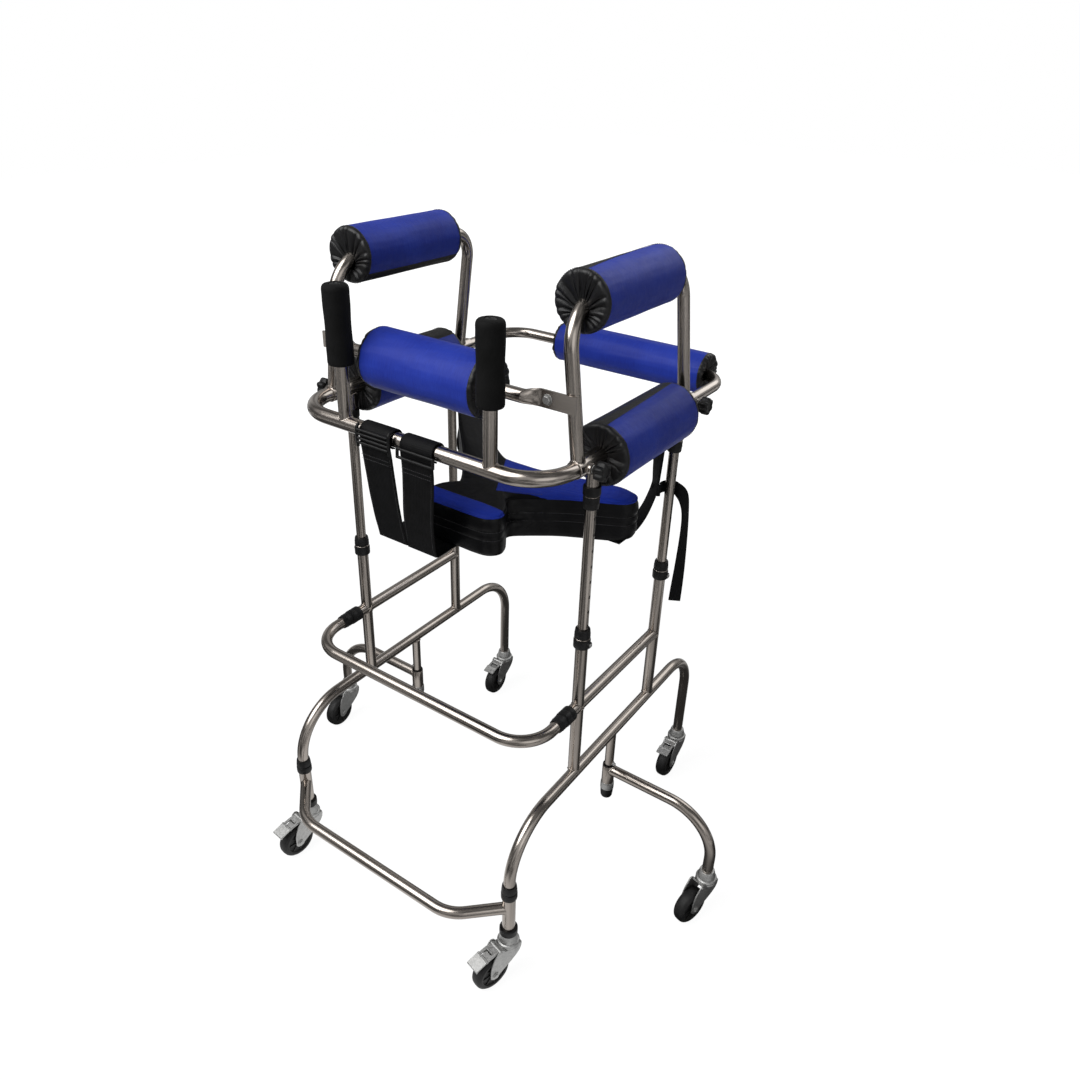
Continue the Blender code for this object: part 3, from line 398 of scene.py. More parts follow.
bands = bmesh.new()
for name, side in SIDES:
    x = HALF_WIDTH * side
    bm = bmesh.new()
    turned(bm, CONNECTOR, (x, 0, UPPER_RAIL_Z), "Y")
    piece(f"middle_connector_sleeve_{name}", bm, [black_plastic], "base_frame", "black_plastic",
          f"middle_connector_{name}")
    bm = bmesh.new()
    turned(bm, FRONT_COLLAR, (FRONT_LEG[0] * side, FRONT_LEG[1], 0))
    piece(f"front_leg_clamp_{name}", bm, [black_plastic], "base_frame", "black_plastic",
          f"front_leg_collar_{name}")
    for end_name, end in ENDS:
        y = UPRIGHT_Y * end
        centre = (x, y, HEIGHT_BUTTON_Z)
        bm = bmesh.new()
        turned(bm, UPRIGHT_COLLAR, (x, y, 0))
        fitted(bm, outward(centre, side), BUTTON_BOSS, 28)
        piece(f"upright_clamp_{end_name}_{name}", bm, [black_plastic], "base_frame", "black_plastic",
              f"upright_collar_{end_name}_{name}")
        push_button(f"height_push_button_{end_name}_{name}", centre, side, 0.0108, 0.0166,
                    f"collar_button_{end_name}_{name}", f"height_button_{end_name}_{name}")
        band(bands, 0.0120, 0.5646, 0.5660, (x, y, 0))
piece("collar_bands", bands, [steel_tube], "base_frame", "zinc_plate")


# Front bars: a knee-high bar plugged into the connectors, and a low crossbar welded to the two
# leg sleeves that slip over the front spigots. Black rings close the sleeves above the casters.
MIDDLE_BAR_Y, MIDDLE_BAR_BEND = -0.253, 0.059
CROSSBAR_Z, CROSSBAR_Y, CROSSBAR_HALF, CROSSBAR_BEND = 0.152, -0.366, 0.160, 0.066
LEG_SLEEVE, LEG_SLEEVE_TOP = TUBE + 0.0012, FRONT_JOINT_Z - 0.0003
SOCKET_RING = [
    (0.0094, 0.0957), (0.0138, 0.0957), (0.0146, 0.0966), (0.0148, 0.1010), (0.0146, 0.1070),
    (0.0134, 0.1084), (0.0094, 0.1086),
]


def u_line(half, end_y, bend_y, z, bend, bend_half=None):
    """A bar bent twice, from the left end across the walker to the right end."""
    bend_half = bend_half or half
    return bent_line([((-half, end_y, z), 0), ((-bend_half, bend_y, z), bend),
                      ((bend_half, bend_y, z), bend), ((half, end_y, z), 0)], 18)


bm = bmesh.new()
tube(bm, u_line(HALF_WIDTH, UPPER_RAIL_FRONT - 0.001, MIDDLE_BAR_Y, UPPER_RAIL_Z, MIDDLE_BAR_BEND), TUBE)
piece("middle_bar_tube", bm, [steel_tube], "base_frame", "steel_tube", "middle_bar")

bm, rings = bmesh.new(), bmesh.new()
leg_x, leg_y = FRONT_LEG
tube(bm, u_line(leg_x, leg_y, CROSSBAR_Y, CROSSBAR_Z, CROSSBAR_BEND, CROSSBAR_HALF), TUBE)
for name, side in SIDES:
    x = leg_x * side
    tube(bm, [(x, leg_y, LEG_FOOT_Z), (x, leg_y, LEG_SLEEVE_TOP)], LEG_SLEEVE)
    towards = ((CROSSBAR_HALF - leg_x) * side, CROSSBAR_Y - leg_y, 0)
    weld(bm, (x, leg_y, CROSSBAR_Z), (0, 0, 1), TUBE, towards, TUBE)
    turned(rings, SOCKET_RING, (x, leg_y, 0))
piece("front_crossbar_tubes", bm, [steel_tube], "base_frame", "steel_tube", "front_crossbar")
piece("caster_socket_rings", rings, [black_plastic], "base_frame", "black_plastic")


# Outriggers: a sleeve that turns on the stub under each side, with a black plastic cup over its
# closed end, a bright ring above the cup, and an arm bent down to the outer caster.
ARM_Z, ARM_REACH, ARM_BEND, STUB_BUTTON_Z = 0.210, 0.433, 0.086, 0.2245
SLEEVE, SLEEVE_TOP = 0.0109, 0.2198
SLEEVE_SECTION = [
    (0.0, 0.1600), (0.0100, 0.1600), (0.0107, 0.1640), (SLEEVE, 0.1830), (SLEEVE, SLEEVE_TOP - 0.0006),
    (0.0105, SLEEVE_TOP), (0.0083, SLEEVE_TOP), (0.0083, SLEEVE_TOP - 0.002),
]
CUP_SECTION = [
    (0.0, 0.1450), (0.0040, 0.1451), (0.0070, 0.1458), (0.0092, 0.1472), (0.0104, 0.1500),
    (0.0110, 0.1560), (0.0113, 0.1630), (0.0116, 0.1645), (0.0116, 0.1660), (0.0105, 0.1662),
]
CUP_RIM = [
    (0.0090, SLEEVE_TOP + 0.0001), (0.0105, SLEEVE_TOP + 0.0002), (0.0106, SLEEVE_TOP + 0.0014),
    (0.0090, SLEEVE_TOP + 0.0016),
]
for name, side in SIDES:
    x, reach = HALF_WIDTH * side, ARM_REACH * side
    body = f"outrigger_{name}"
    bm = bmesh.new()
    turned(bm, SLEEVE_SECTION, (x, 0, 0))
    arm = [((x, 0, ARM_Z), 0), ((reach, 0, ARM_Z), ARM_BEND), ((reach, 0, LEG_FOOT_Z), 0)]
    tube(bm, bent_line(arm, 24), TUBE)
    weld(bm, (x, 0, ARM_Z), (0, 0, 1), SLEEVE, (side, 0, 0), TUBE)
    piece(f"outrigger_tubes_{name}", bm, [steel_tube], body, "steel_tube", f"outrigger_arm_{name}")
    bm = bmesh.new()
    turned(bm, CUP_SECTION, (x, 0, 0))
    turned(bm, CUP_RIM, (x, 0, 0))
    piece(f"outrigger_cup_{name}", bm, [black_plastic], body, "black_plastic")
    bm = bmesh.new()
    band(bm, 0.0120, 0.1668, 0.1790, (x, 0, 0))
    band(bm, 0.0114, 0.1795, 0.1812, (x, 0, 0))
    piece(f"outrigger_ring_{name}", bm, [zinc_plate], body, "zinc_plate")
    push_button(f"stub_push_button_{name}", (x, 0, STUB_BUTTON_Z), side, 0.0062, 0.0124,
                f"stub_button_{name}", f"outrigger_button_{name}")


# Casters: a pressed zinc-plated fork hangs from a ball-raced housing, a solid black wheel runs
# on a bolted axle, and on the four legs a sprung tread pedal jams the wheel.
WHEEL_RADIUS, WHEEL_WIDTH, TRAIL = 0.0325, 0.022, 0.0355
CROWN_Z, PLATE, PLATE_GAP, AXLE_EYE = 0.0700, 0.0022, 0.0006, 0.0095
PEDAL_X, PEDAL_Z, PEDAL_SLOPE, FLAP_SLOPE = 0.0250, 0.0775, 9, 9
FRONT_FLAP, REAR_FLAP = 0.0215, 0.0138
FORK_INSIDE = WHEEL_WIDTH / 2 + PLATE_GAP
HEADINGS = {"front_right": -105, "front_left": -96, "rear_right": -90, "rear_left": -87,
            "outer_right": -106, "outer_left": -88}

half = WHEEL_WIDTH / 2
WHEEL_FACE = [
    (0.0034, half), (0.0072, half), (0.0076, half - 0.0004), (0.0078, half - 0.0028),
    (0.0215, half - 0.0028), (0.0222, half - 0.0022), (0.0226, half - 0.0006), (0.0236, half),
    (0.0270, half), (0.0278, half - 0.0004), (0.0282, half - 0.0012), (0.0296, half - 0.0018),
    (0.0311, half - 0.0034), (0.0321, half - 0.0056), (WHEEL_RADIUS, half - 0.0085),
]
WHEEL_SECTION = WHEEL_FACE + [(radius, -height) for radius, height in reversed(WHEEL_FACE)]
HOUSING = [
    (0.0, CROWN_Z - 0.0008), (0.0172, CROWN_Z - 0.0008), (0.0180, CROWN_Z), (0.0182, 0.0722),
    (0.0176, 0.0734), (0.0170, 0.0740), (0.0181, 0.0748), (0.0181, 0.0780), (0.0174, 0.0790),
    (0.0160, 0.0796), (0.0152, 0.0800), (0.0149, 0.0850), (0.0138, 0.0868), (0.0138, 0.0900),
    (0.0130, 0.0912), (0.0127, 0.0940), (0.0118, 0.0950), (0.0066, 0.0950), (0.0060, 0.0956),
    (0.0060, 0.1200), (0.0, 0.1200),
]
AXLE_WASHER = [
    (0.0, 0.0), (0.0056, 0.0), (0.0058, 0.0003), (0.0058, 0.0009), (0.0054, 0.0011), (0.0, 0.0011),
]
AXLE_NUT = [(0.0, 0.0008), (0.0045, 0.0008), (0.0045, 0.0026), (0.0040, 0.0031), (0.0, 0.0031)]
RIVET = [(0.0, 0.0), (0.0026, 0.0), (0.0025, 0.0007), (0.0016, 0.0012), (0.0, 0.0013)]
HOOD_BACK = [
    (-0.0166, CROWN_Z + 0.0020), (-0.0169, 0.0670), (-0.0159, 0.0612), (-0.0127, 0.0548),
    (-0.0085, 0.0500),
]
HOOD_FRONT = [
    (0.0120, CROWN_Z + 0.0040), (0.0165, CROWN_Z + 0.0046), (0.0200, CROWN_Z + 0.0062),
    (0.0212, CROWN_Z + 0.0060),
]
TREAD_SLABS = [
    ((-0.0010, -0.0112, -0.0012), (0.0120, 0.0112, 0.0012)),
    ((0.0250, -0.0125, -0.0012), (0.0282, 0.0125, 0.0030)),
    ((0.0100, -0.0118, -0.0012), (0.0270, -0.0068, 0.0014)),
    ((0.0100, 0.0068, -0.0012), (0.0270, 0.0118, 0.0014)),
    ((0.0112, -0.0070, 0.0004), (0.0134, 0.0070, 0.0028)),
    ((0.0140, -0.0062, -0.0026), (0.0240, 0.0062, -0.0012)),
]

rubber = Finish("black_wheel_rubber", Specular_IOR_Level=0.4)
dust = rubber.grain(rubber.place(), 130, 5.0, 0.7)
tread = rubber.grain(rubber.place(), 900, 2.0)
wheel_rubber = rubber.done(
    Base_Color=rubber.mixed(rubber.between(dust, 0.42, 0.8),
                            (0.002, 0.002, 0.0022, 1), (0.016, 0.0155, 0.015, 1)),
    Roughness=0.42 + dust * 0.32,
    Normal=rubber.bump(tread, 0.00008))


def repeated(name, finish, wanted, build):
    """A plain mesh from a geometry-node tree: wanted gives its named sizes, build adds its nodes."""
    tree = bpy.data.node_groups.new(name, "GeometryNodeTree")
    kinds = {int: "NodeSocketInt", float: "NodeSocketFloat", tuple: "NodeSocketVector"}
    for label, value in wanted.items():
        tree.interface.new_socket(label, in_out="INPUT",
                                  socket_type=kinds.get(type(value), "NodeSocketGeometry"))
    tree.interface.new_socket("Result", in_out="OUTPUT", socket_type="NodeSocketGeometry")
    graph = Graph(tree, "ShaderNode")
    inlet = tree.nodes.new("NodeGroupInput")
    given = {label: Shade(graph, inlet.outputs[label]) for label in wanted}
    result = build(graph, given)
    result = graph.node("GeometryNodeRealizeInstances", None, {"Geometry": result})
    result = graph.node("GeometryNodeSetMaterial", None, {"Geometry": result, "Material": finish})
    graph.feed(tree.nodes.new("NodeGroupOutput").inputs["Result"], result)
    holder = bpy.data.objects.new(name, wanted.get("Path") or bpy.data.meshes.new(name))
    bpy.context.scene.collection.objects.link(holder)
    live = holder.modifiers.new(name, "NODES")
    live.node_group = tree
    for item in tree.interface.items_tree:
        if item.in_out == "INPUT" and item.name != "Path":
            live[item.identifier] = wanted[item.name]
    depsgraph = bpy.context.evaluated_depsgraph_get()
    mesh = bpy.data.meshes.new_from_object(holder.evaluated_get(depsgraph))
    holder.modifiers.remove(live)
    bpy.data.objects.remove(holder, do_unlink=True)
    return mesh


def hub_ribs(graph, given):
    """Short spokes in a ring, each standing on the wheel's web."""
    ring = graph.node("GeometryNodeMeshCircle", None, {
        "Vertices": given["Count"], "Radius": given["Ring"]})
    spoke = graph.node("GeometryNodeMeshCube", None, {"Size": given["Spoke"]})
    outward_turn = graph.node("FunctionNodeAlignEulerToVector", {"axis": "X"}, {
        "Vector": graph.node("GeometryNodeInputPosition")})
    return graph.node("GeometryNodeInstanceOnPoints", None, {
        "Points": ring, "Instance": spoke, "Rotation": outward_turn})


def fork_side():
    """Side view of the pressed fork, from its crown down to the round axle end."""
    points = [(-0.0165, CROWN_Z + 0.0020), (-0.0168, 0.0670), (-0.0158, 0.0610), (-0.0125, 0.0545),
              (-0.0060, 0.0480), (0.0040, 0.0412), (0.0150, 0.0352), (0.0225, 0.0310)]
    for step in range(13):
        angle = math.radians(208 + 14.5 * step)
        points.append((TRAIL + AXLE_EYE * math.cos(angle), WHEEL_RADIUS + AXLE_EYE * math.sin(angle)))
    points += [(0.0448, 0.0410), (0.0440, 0.0500), (0.0415, 0.0590), (0.0375, 0.0680), (0.0325, 0.0750)]
    hinge = [(0.0040, 0.0028), (0.0024, 0.0042), (0.0, 0.0047), (-0.0032, 0.0038), (-0.0060, 0.0018)]
    points += [(PEDAL_X + x, PEDAL_Z + z) for x, z in hinge]
    return points + [(0.0165, CROWN_Z + 0.0045), (0.0140, CROWN_Z + 0.0030)]


def plate(bm, outline, low, high, edge=0.0004):
    """A pressed plate across Y with softened rims."""
    count = len(outline)
    rings = []
    for y, inset in ((low, edge), (low + edge, 0.0), (high - edge, 0.0), (high, edge)):
        ring = []
        for k, point in enumerate(outline):
            along = Vector(outline[(k + 1) % count]) - Vector(outline[k - 1])
            inward = Vector((-along.y, along.x)).normalized()
            at = Vector(point) + inward * inset
            ring.append((at.x, y, at.y))
        rings.append(ring)
    skin(bm, rings)


def hood(bm, course, thick):
    """A curved plate that joins the fork's two sides, along a course of (x, z) points."""
    lap = FORK_INSIDE + 0.0012
    rings = []
    for k, (x, z) in enumerate(course):
        fore, aft = course[min(k + 1, len(course) - 1)], course[max(k - 1, 0)]
        out = Vector((aft[1] - fore[1], fore[0] - aft[0])).normalized() * thick
        rings.append([(x, -lap, z), (x, lap, z), (x + out.x, lap, z + out.y), (x + out.x, -lap, z + out.y)])
    skin(bm, rings)


def fork(bm):
    """The housing, the two plates with the hood that joins them, and the bolted axle."""
    turned(bm, HOUSING, (0, 0, 0))
    for way in (1, -1):
        face = way * (FORK_INSIDE + PLATE)
        plate(bm, fork_side(), *sorted((way * FORK_INSIDE, face)))
        outside = Matrix.Rotation(math.radians(-90) * way, 4, "X")
        axle = Matrix.Translation((TRAIL, face, WHEEL_RADIUS)) @ outside
        fitted(bm, axle, AXLE_WASHER, 28)
        fitted(bm, axle, AXLE_NUT, 6)
        fitted(bm, Matrix.Translation((PEDAL_X, face, PEDAL_Z)) @ outside, RIVET, 20)
    hood(bm, HOOD_BACK, 0.0020)
    hood(bm, HOOD_FRONT, -0.0018)
    axle_end = FORK_INSIDE + 0.001
    tube(bm, [(TRAIL, -axle_end, WHEEL_RADIUS), (TRAIL, axle_end, WHEEL_RADIUS)], 0.0031, 20)


def slab(bm, low, high, edge=0.0005):
    """A flat block between two corners, its upper and lower rims softened."""
    low, high = Vector(low), Vector(high)
    rings = []
    for z, inset in ((low.z, edge), (low.z + edge, 0), (high.z - edge, 0), (high.z, edge)):
        rings.append([(low.x + inset, low.y + inset, z), (high.x - inset, low.y + inset, z),
                      (high.x - inset, high.y - inset, z), (low.x + inset, high.y - inset, z)])
    skin(bm, rings)


def pedal(bm, flap):
    """A pressed tread plate with a window, a ridge and a turned-down lip, on its hinge barrel."""
    reach = FORK_INSIDE - 0.0004
    barrel = [(0.0, -reach), (0.0034, -reach), (0.0034, reach), (0.0, reach)]
    turned(bm, eased(barrel), (PEDAL_X, 0, PEDAL_Z), "Y", 28)
    slope = (Matrix.Translation((PEDAL_X, 0, PEDAL_Z + 0.0010))
             @ Matrix.Rotation(math.radians(PEDAL_SLOPE), 4, "Y"))
    for low, high in TREAD_SLABS:
        placed(bm, slope, slab, low, high)
    dip = slope @ Matrix.Translation((0.0270, 0, 0.0014)) @ Matrix.Rotation(math.radians(FLAP_SLOPE), 4, "Y")
    placed(bm, dip, slab, (-0.0010, -0.0125, -0.0014), (flap, 0.0125, 0.0012))
    placed(bm, dip, slab, (flap - 0.0016, -0.0121, 0.0005 - 0.19 * flap), (flap + 0.0006, 0.0121, 0.0006))


ribs = repeated("wheel_web_ribs", wheel_rubber,
                {"Count": 8, "Ring": 0.0146, "Spoke": (0.0136, 0.0018, 0.0196)}, hub_ribs)
ribs.transform(Matrix.Rotation(math.radians(90), 4, "X"))
for name, heading in HEADINGS.items():
    end_name, side_name = name.split("_")
    side = 1 if side_name == "right" else -1
    x, y = {"front": (FRONT_LEG[0] * side, FRONT_LEG[1]), "rear": (HALF_WIDTH * side, REAR_LEG_Y),
            "outer": (ARM_REACH * side, 0.0)}[end_name]
    turn = Matrix.Translation((x, y, 0)) @ Matrix.Rotation(math.radians(heading), 4, "Z")
    bm = bmesh.new()
    placed(bm, turn, fork)
    piece(f"pressed_fork_{name}", bm, [zinc_plate], f"caster_{name}", "zinc_plate", f"caster_fork_{name}")
    bm = bmesh.new()
    turned(bm, WHEEL_SECTION, (0, 0, 0), "Y", 64)
    bm.from_mesh(ribs)
    bm.transform(turn @ Matrix.Translation((TRAIL, 0, WHEEL_RADIUS)))
    piece(f"solid_wheel_{name}", bm, [wheel_rubber], f"caster_wheel_{name}", "wheel_rubber",
          f"wheel_{name}")
    if end_name != "outer":
        bm = bmesh.new()
        placed(bm, turn, pedal, FRONT_FLAP if end_name == "front" else REAR_FLAP)
        piece(f"tread_pedal_{name}", bm, [zinc_plate], f"pedal_{name}", "zinc_plate",
              f"brake_pedal_{name}")


# Arm frames: each side tube carries a bent arch for the underarm roll, two screw bosses and two
# stubs whose collars hold the sliding inner legs. The row of adjusting holes down the outer side
# of every inner leg is painted shade: dark discs laid on the tube, not holes cut through it.
SIDE_TUBE, SIDE_X, SIDE_Z, SIDE_FRONT, SIDE_REAR = 0.0125, 0.2225, 0.850, -0.168, 0.168
STUB_BOTTOM, LEG_BOTTOM, STUB_BAND_Z = 0.799, 0.497, (0.7984, 0.7998)
ARCH_FRONT, ARCH_REAR, ARCH_TOP_Z, ARCH_TOP_X = -0.158, 0.144, 1.0545, 0.197
ARCH_FRONT_BEND, ARCH_REAR_BEND = 0.056, 0.045
KNOB_Y, BOSS_REACH, BOSS_RADIUS = {"front": -0.148, "rear": 0.158}, 0.0165, 0.0080
HOLE_COUNT, TOP_HOLE_Z, HOLE_PITCH, HOLE_RADIUS = 8, 0.765, 0.0254, 0.0027
HOLE_PROUD = 0.00006
SIDE_TUBE_SECTION = [
    (0.0112, SIDE_FRONT + 0.012), (0.0112, SIDE_FRONT), (0.0120, SIDE_FRONT),
    (SIDE_TUBE, SIDE_FRONT + 0.0005), (SIDE_TUBE, SIDE_REAR - 0.0005), (0.0120, SIDE_REAR),
    (0.0098, SIDE_REAR), (0.0098, SIDE_REAR - 0.012),
]
BOSS_SECTION = [
    (0.0, 0.0), (BOSS_RADIUS, 0.0), (BOSS_RADIUS, BOSS_REACH - 0.0006),
    (BOSS_RADIUS - 0.0006, BOSS_REACH), (0.0036, BOSS_REACH), (0.0034, BOSS_REACH - 0.002),
]

# Painted shade: a near-black finish for the discs that stand in for the shade inside the adjusting holes; its
# mottle varies that shade.
hole_shade_finish = Finish("painted_hole_shade", Metallic=0.6)
hole_shade_mottle = hole_shade_finish.grain(hole_shade_finish.place(), 500, 3.0)
hole_shade_paint = hole_shade_finish.done(
    Base_Color=hole_shade_finish.mixed(hole_shade_mottle, (0.004, 0.004, 0.004, 1), (0.02, 0.018, 0.016, 1)),
    Roughness=0.5 + hole_shade_mottle * 0.3,
    Normal=hole_shade_finish.bump(hole_shade_mottle, 0.0001))


def painted_hole_row(graph, given):
    """Painted hole shade down a leg: dark flat fans pressed onto the tube's curve on its outer side."""
    line = graph.node("GeometryNodeMeshLine", {"mode": "OFFSET"}, {
        "Count": given["Count"], "Start Location": given["First"], "Offset": given["Pitch"]})
    fan = graph.node("GeometryNodeMeshCircle", {"fill_type": "TRIANGLE_FAN"}, {
        "Vertices": 20, "Radius": given["Hole"]})
    upright = graph.node("GeometryNodeTransform", None, {"Geometry": fan, "Rotation": given["Turn"]})
    row = graph.node("GeometryNodeInstanceOnPoints", None, {"Points": line, "Instance": upright})
    row = graph.node("GeometryNodeRealizeInstances", None, {"Geometry": row})
    here = graph.node("GeometryNodeInputPosition")
    off = graph.node("ShaderNodeVectorMath", {"operation": "SUBTRACT"}, {0: here, 1: given["First"]})
    across = graph.node("ShaderNodeSeparateXYZ", None, {"Vector": off}, output="Y")
    sink = given["Tube"] - graph.maths("SQRT", given["Tube"] * given["Tube"] - across * across)
    shift = graph.node("ShaderNodeCombineXYZ", None, {"X": sink * given["Inward"]})
    return graph.node("GeometryNodeSetPosition", None, {"Geometry": row, "Offset": shift})


def arch_line(side):
    foot_x, top_x = side * SIDE_X, side * ARCH_TOP_X
    return bent_line([((foot_x, ARCH_FRONT, SIDE_Z), 0), ((top_x, ARCH_FRONT, ARCH_TOP_Z), ARCH_FRONT_BEND),
                      ((top_x, ARCH_REAR, ARCH_TOP_Z), ARCH_REAR_BEND), ((foot_x, ARCH_REAR, SIDE_Z), 0)], 18)


for name, side in SIDES:
    x, leg_x = SIDE_X * side, HALF_WIDTH * side
    bm = bmesh.new()
    turned(bm, SIDE_TUBE_SECTION, (x, 0, SIDE_Z), "Y")
    line = arch_line(side)
    tube(bm, line, TUBE)
    for y, end in ((ARCH_FRONT, line[1] - line[0]), (ARCH_REAR, line[-2] - line[-1])):
        weld(bm, (x, y, SIDE_Z), (0, 1, 0), SIDE_TUBE, end, TUBE)
    for end_name, end in ENDS:
        y, knob_y = UPRIGHT_Y * end, KNOB_Y[end_name]
        tube(bm, [(leg_x, y, STUB_BOTTOM), (leg_x, y, SIDE_Z)], TUBE)
        tube(bm, [(leg_x, y, LEG_BOTTOM), (leg_x, y, SIDE_Z - 0.02)], LEG)
        weld(bm, (x, y, SIDE_Z), (0, 1, 0), SIDE_TUBE, (0, 0, -1), TUBE)
        fitted(bm, outward((x, knob_y, SIDE_Z), side), BOSS_SECTION, 36)
        weld(bm, (x, knob_y, SIDE_Z), (0, 1, 0), SIDE_TUBE, (side, 0, 0), BOSS_RADIUS, 0.0008)
    piece(f"arm_frame_tubes_{name}", bm, [steel_tube], "upper_frame", "steel_tube", f"arm_frame_{name}")
    # Dark discs painted as the shade inside each leg's adjusting holes.
    bm = bmesh.new()
    for _, end in ENDS:
        bm.from_mesh(repeated("leg_painted_hole_row", hole_shade_paint, {
            "Count": HOLE_COUNT, "First": (leg_x + side * (LEG + HOLE_PROUD), UPRIGHT_Y * end, TOP_HOLE_Z),
            "Pitch": (0.0, 0.0, -HOLE_PITCH), "Hole": HOLE_RADIUS,
            "Turn": (0.0, math.radians(90) * side, 0.0), "Tube": LEG, "Inward": -float(side),
        }, painted_hole_row))
    piece(f"painted_adjusting_holes_{name}", bm, [hole_shade_paint], "upper_frame", "steel_tube")
    for end_name, end in ENDS:
        bm = bmesh.new()
        turned(bm, UPPER_COLLAR, (leg_x, UPRIGHT_Y * end, 0))
        piece(f"stub_clamp_{end_name}_{name}", bm, [black_plastic], "upper_frame", "black_plastic",
              f"upper_collar_{end_name}_{name}")
bm = bmesh.new()
for _, side in SIDES:
    for _, end in ENDS:
        band(bm, 0.0114, *STUB_BAND_Z, (HALF_WIDTH * side, UPRIGHT_Y * end, 0))
piece("stub_bands", bm, [steel_tube], "upper_frame", "steel_tube")


# Star knobs: six-lobed black hand knobs on a plated screw that runs through the boss and clamps
# the sliding bar inside the side tube.
KNOB_RADIUS, KNOB_LOBES, KNOB_DEPTH, KNOB_NECK, LOBE_DEPTH = 0.0140, 6, 0.0140, 0.0065, 0.0034
GRIP_BAR, THREAD_PITCH, THREAD_TURNS = 0.0110, 0.0006, 20
KNOB_FOOT = BOSS_REACH + KNOB_NECK
KNOB_COLLAR = [
    (0.0030, BOSS_REACH + 0.0024), (0.0066, BOSS_REACH + 0.0024), (0.0072, KNOB_FOOT + 0.001),
    (0.0030, KNOB_FOOT + 0.001),
]
KNOB_NUT = [
    (0.0031, BOSS_REACH + 0.0003), (0.0062, BOSS_REACH + 0.0003), (0.0062, BOSS_REACH + 0.0022),
    (0.0031, BOSS_REACH + 0.0022),
]


def star_head(bm, low, high):
    """The lobed head, rounded at both rims and dished on its face."""
    layers = [
        (0.62, low), (0.86, low + 0.0002), (0.96, low + 0.0012), (1.0, low + 0.0030),
        (1.0, high - 0.0036), (0.965, high - 0.0014), (0.88, high - 0.0003), (0.78, high),
        (0.60, high - 0.0002), (0.55, high - 0.0012), (0.20, high - 0.0016), (0.02, high - 0.0016),
    ]
    rings = []
    for scale, height in layers:
        ring = []
        for angle in round_about(96):
            lobe = 1 - abs(math.cos(angle * KNOB_LOBES / 2)) ** 1.4
            size = KNOB_RADIUS * scale - LOBE_DEPTH * lobe * min(1.0, scale * 1.05) ** 3
            ring.append((size * math.cos(angle), size * math.sin(angle), height))
        rings.append(ring)
    skin(bm, rings, around=math.tau * KNOB_RADIUS)


def screw(bar):
    """The screw's threaded outline, from the bar it presses on up into the knob."""
    outline = [(0.0, bar + 0.0003), (0.0026, bar + 0.0003)]
    for turn in range(THREAD_TURNS):
        height = bar + 0.0008 + THREAD_PITCH * turn
        if height < KNOB_FOOT:
            outline += [(0.0030, height), (0.0027, height + THREAD_PITCH / 2)]
    return outline + [(0.0029, KNOB_FOOT + 0.002), (0.0, KNOB_FOOT + 0.002)]


for name, side in SIDES:
    for end_name, bar in (("front", GRIP_BAR), ("rear", TUBE)):
        out = outward((SIDE_X * side, KNOB_Y[end_name], SIDE_Z), side)
        body = f"knob_{end_name}_{name}"
        bm = bmesh.new()
        placed(bm, out, star_head, KNOB_FOOT, KNOB_FOOT + KNOB_DEPTH)
        fitted(bm, out, eased(KNOB_COLLAR), 36)
        piece(f"star_grip_{end_name}_{name}", bm, [black_plastic], body, "black_plastic",
              f"star_knob_{end_name}_{name}")
        bm = bmesh.new()
        fitted(bm, out, screw(bar), 24)
        fitted(bm, out, eased(KNOB_NUT), 6)
        piece(f"clamp_screw_{end_name}_{name}", bm, [zinc_plate], body, "zinc_plate")


# Chest bar: a straight stainless tube with its two ends pressed flat in a short taper, each end
# bolted to the front of an arch with a plated hexagon bolt on a washer.
CHEST_BAR_Y, CHEST_BAR_Z, CHEST_BOLT_X = -0.1800, 0.937, 0.1800
PLATE_HALF_THICK, PLATE_HALF_HIGH = 0.0015, 0.0120
FLATTENING = [(-0.222, 1.0), (-0.172, 1.0), (-0.167, 0.97), (-0.158, 0.55), (-0.151, 0.06), (-0.148, 0.0)]
BOLT_WASHER = [(0.0, 0.0), (0.0072, 0.0), (0.0072, 0.0010), (0.0, 0.0010)]
BOLT_HEAD = [(0.0, 0.0010), (0.0058, 0.0010), (0.0058, 0.0038), (0.0050, 0.0046), (0.0, 0.0046)]
BOLT_NUT = [(0.0, -0.0050), (0.0058, -0.0050), (0.0058, -0.0031), (0.0, -0.0031)]
plate_y = ARCH_FRONT - TUBE - 0.0006 - PLATE_HALF_THICK
bm = bmesh.new()
rings = []
for x, flat in FLATTENING + [(-x, flat) for x, flat in reversed(FLATTENING)]:
    ring = []
    for angle in round_about(48):
        across = math.copysign(min(1.0, abs(math.cos(angle)) * 8), math.cos(angle))
        round_y, flat_y = CHEST_BAR_Y + TUBE * math.cos(angle), plate_y + PLATE_HALF_THICK * across
        half_high = TUBE * (1 - flat) + PLATE_HALF_HIGH * flat
        ring.append((x, round_y * (1 - flat) + flat_y * flat, CHEST_BAR_Z + math.sin(angle) * half_high))
    rings.append(ring)
skin(bm, rings)
piece("chest_bar_tube", bm, [steel_tube], "upper_frame", "steel_tube", "chest_bar")
bm = bmesh.new()
for _, side in SIDES:
    out = (Matrix.Translation((side * CHEST_BOLT_X, plate_y - PLATE_HALF_THICK, CHEST_BAR_Z))
           @ Matrix.Rotation(math.radians(90), 4, "X"))
    fitted(bm, out, eased(BOLT_WASHER, 0.0003))
    fitted(bm, out, BOLT_HEAD, 6)
    fitted(bm, out, BOLT_NUT, 6)
piece("chest_bar_bolts", bm, [zinc_plate], "upper_frame", "zinc_plate")


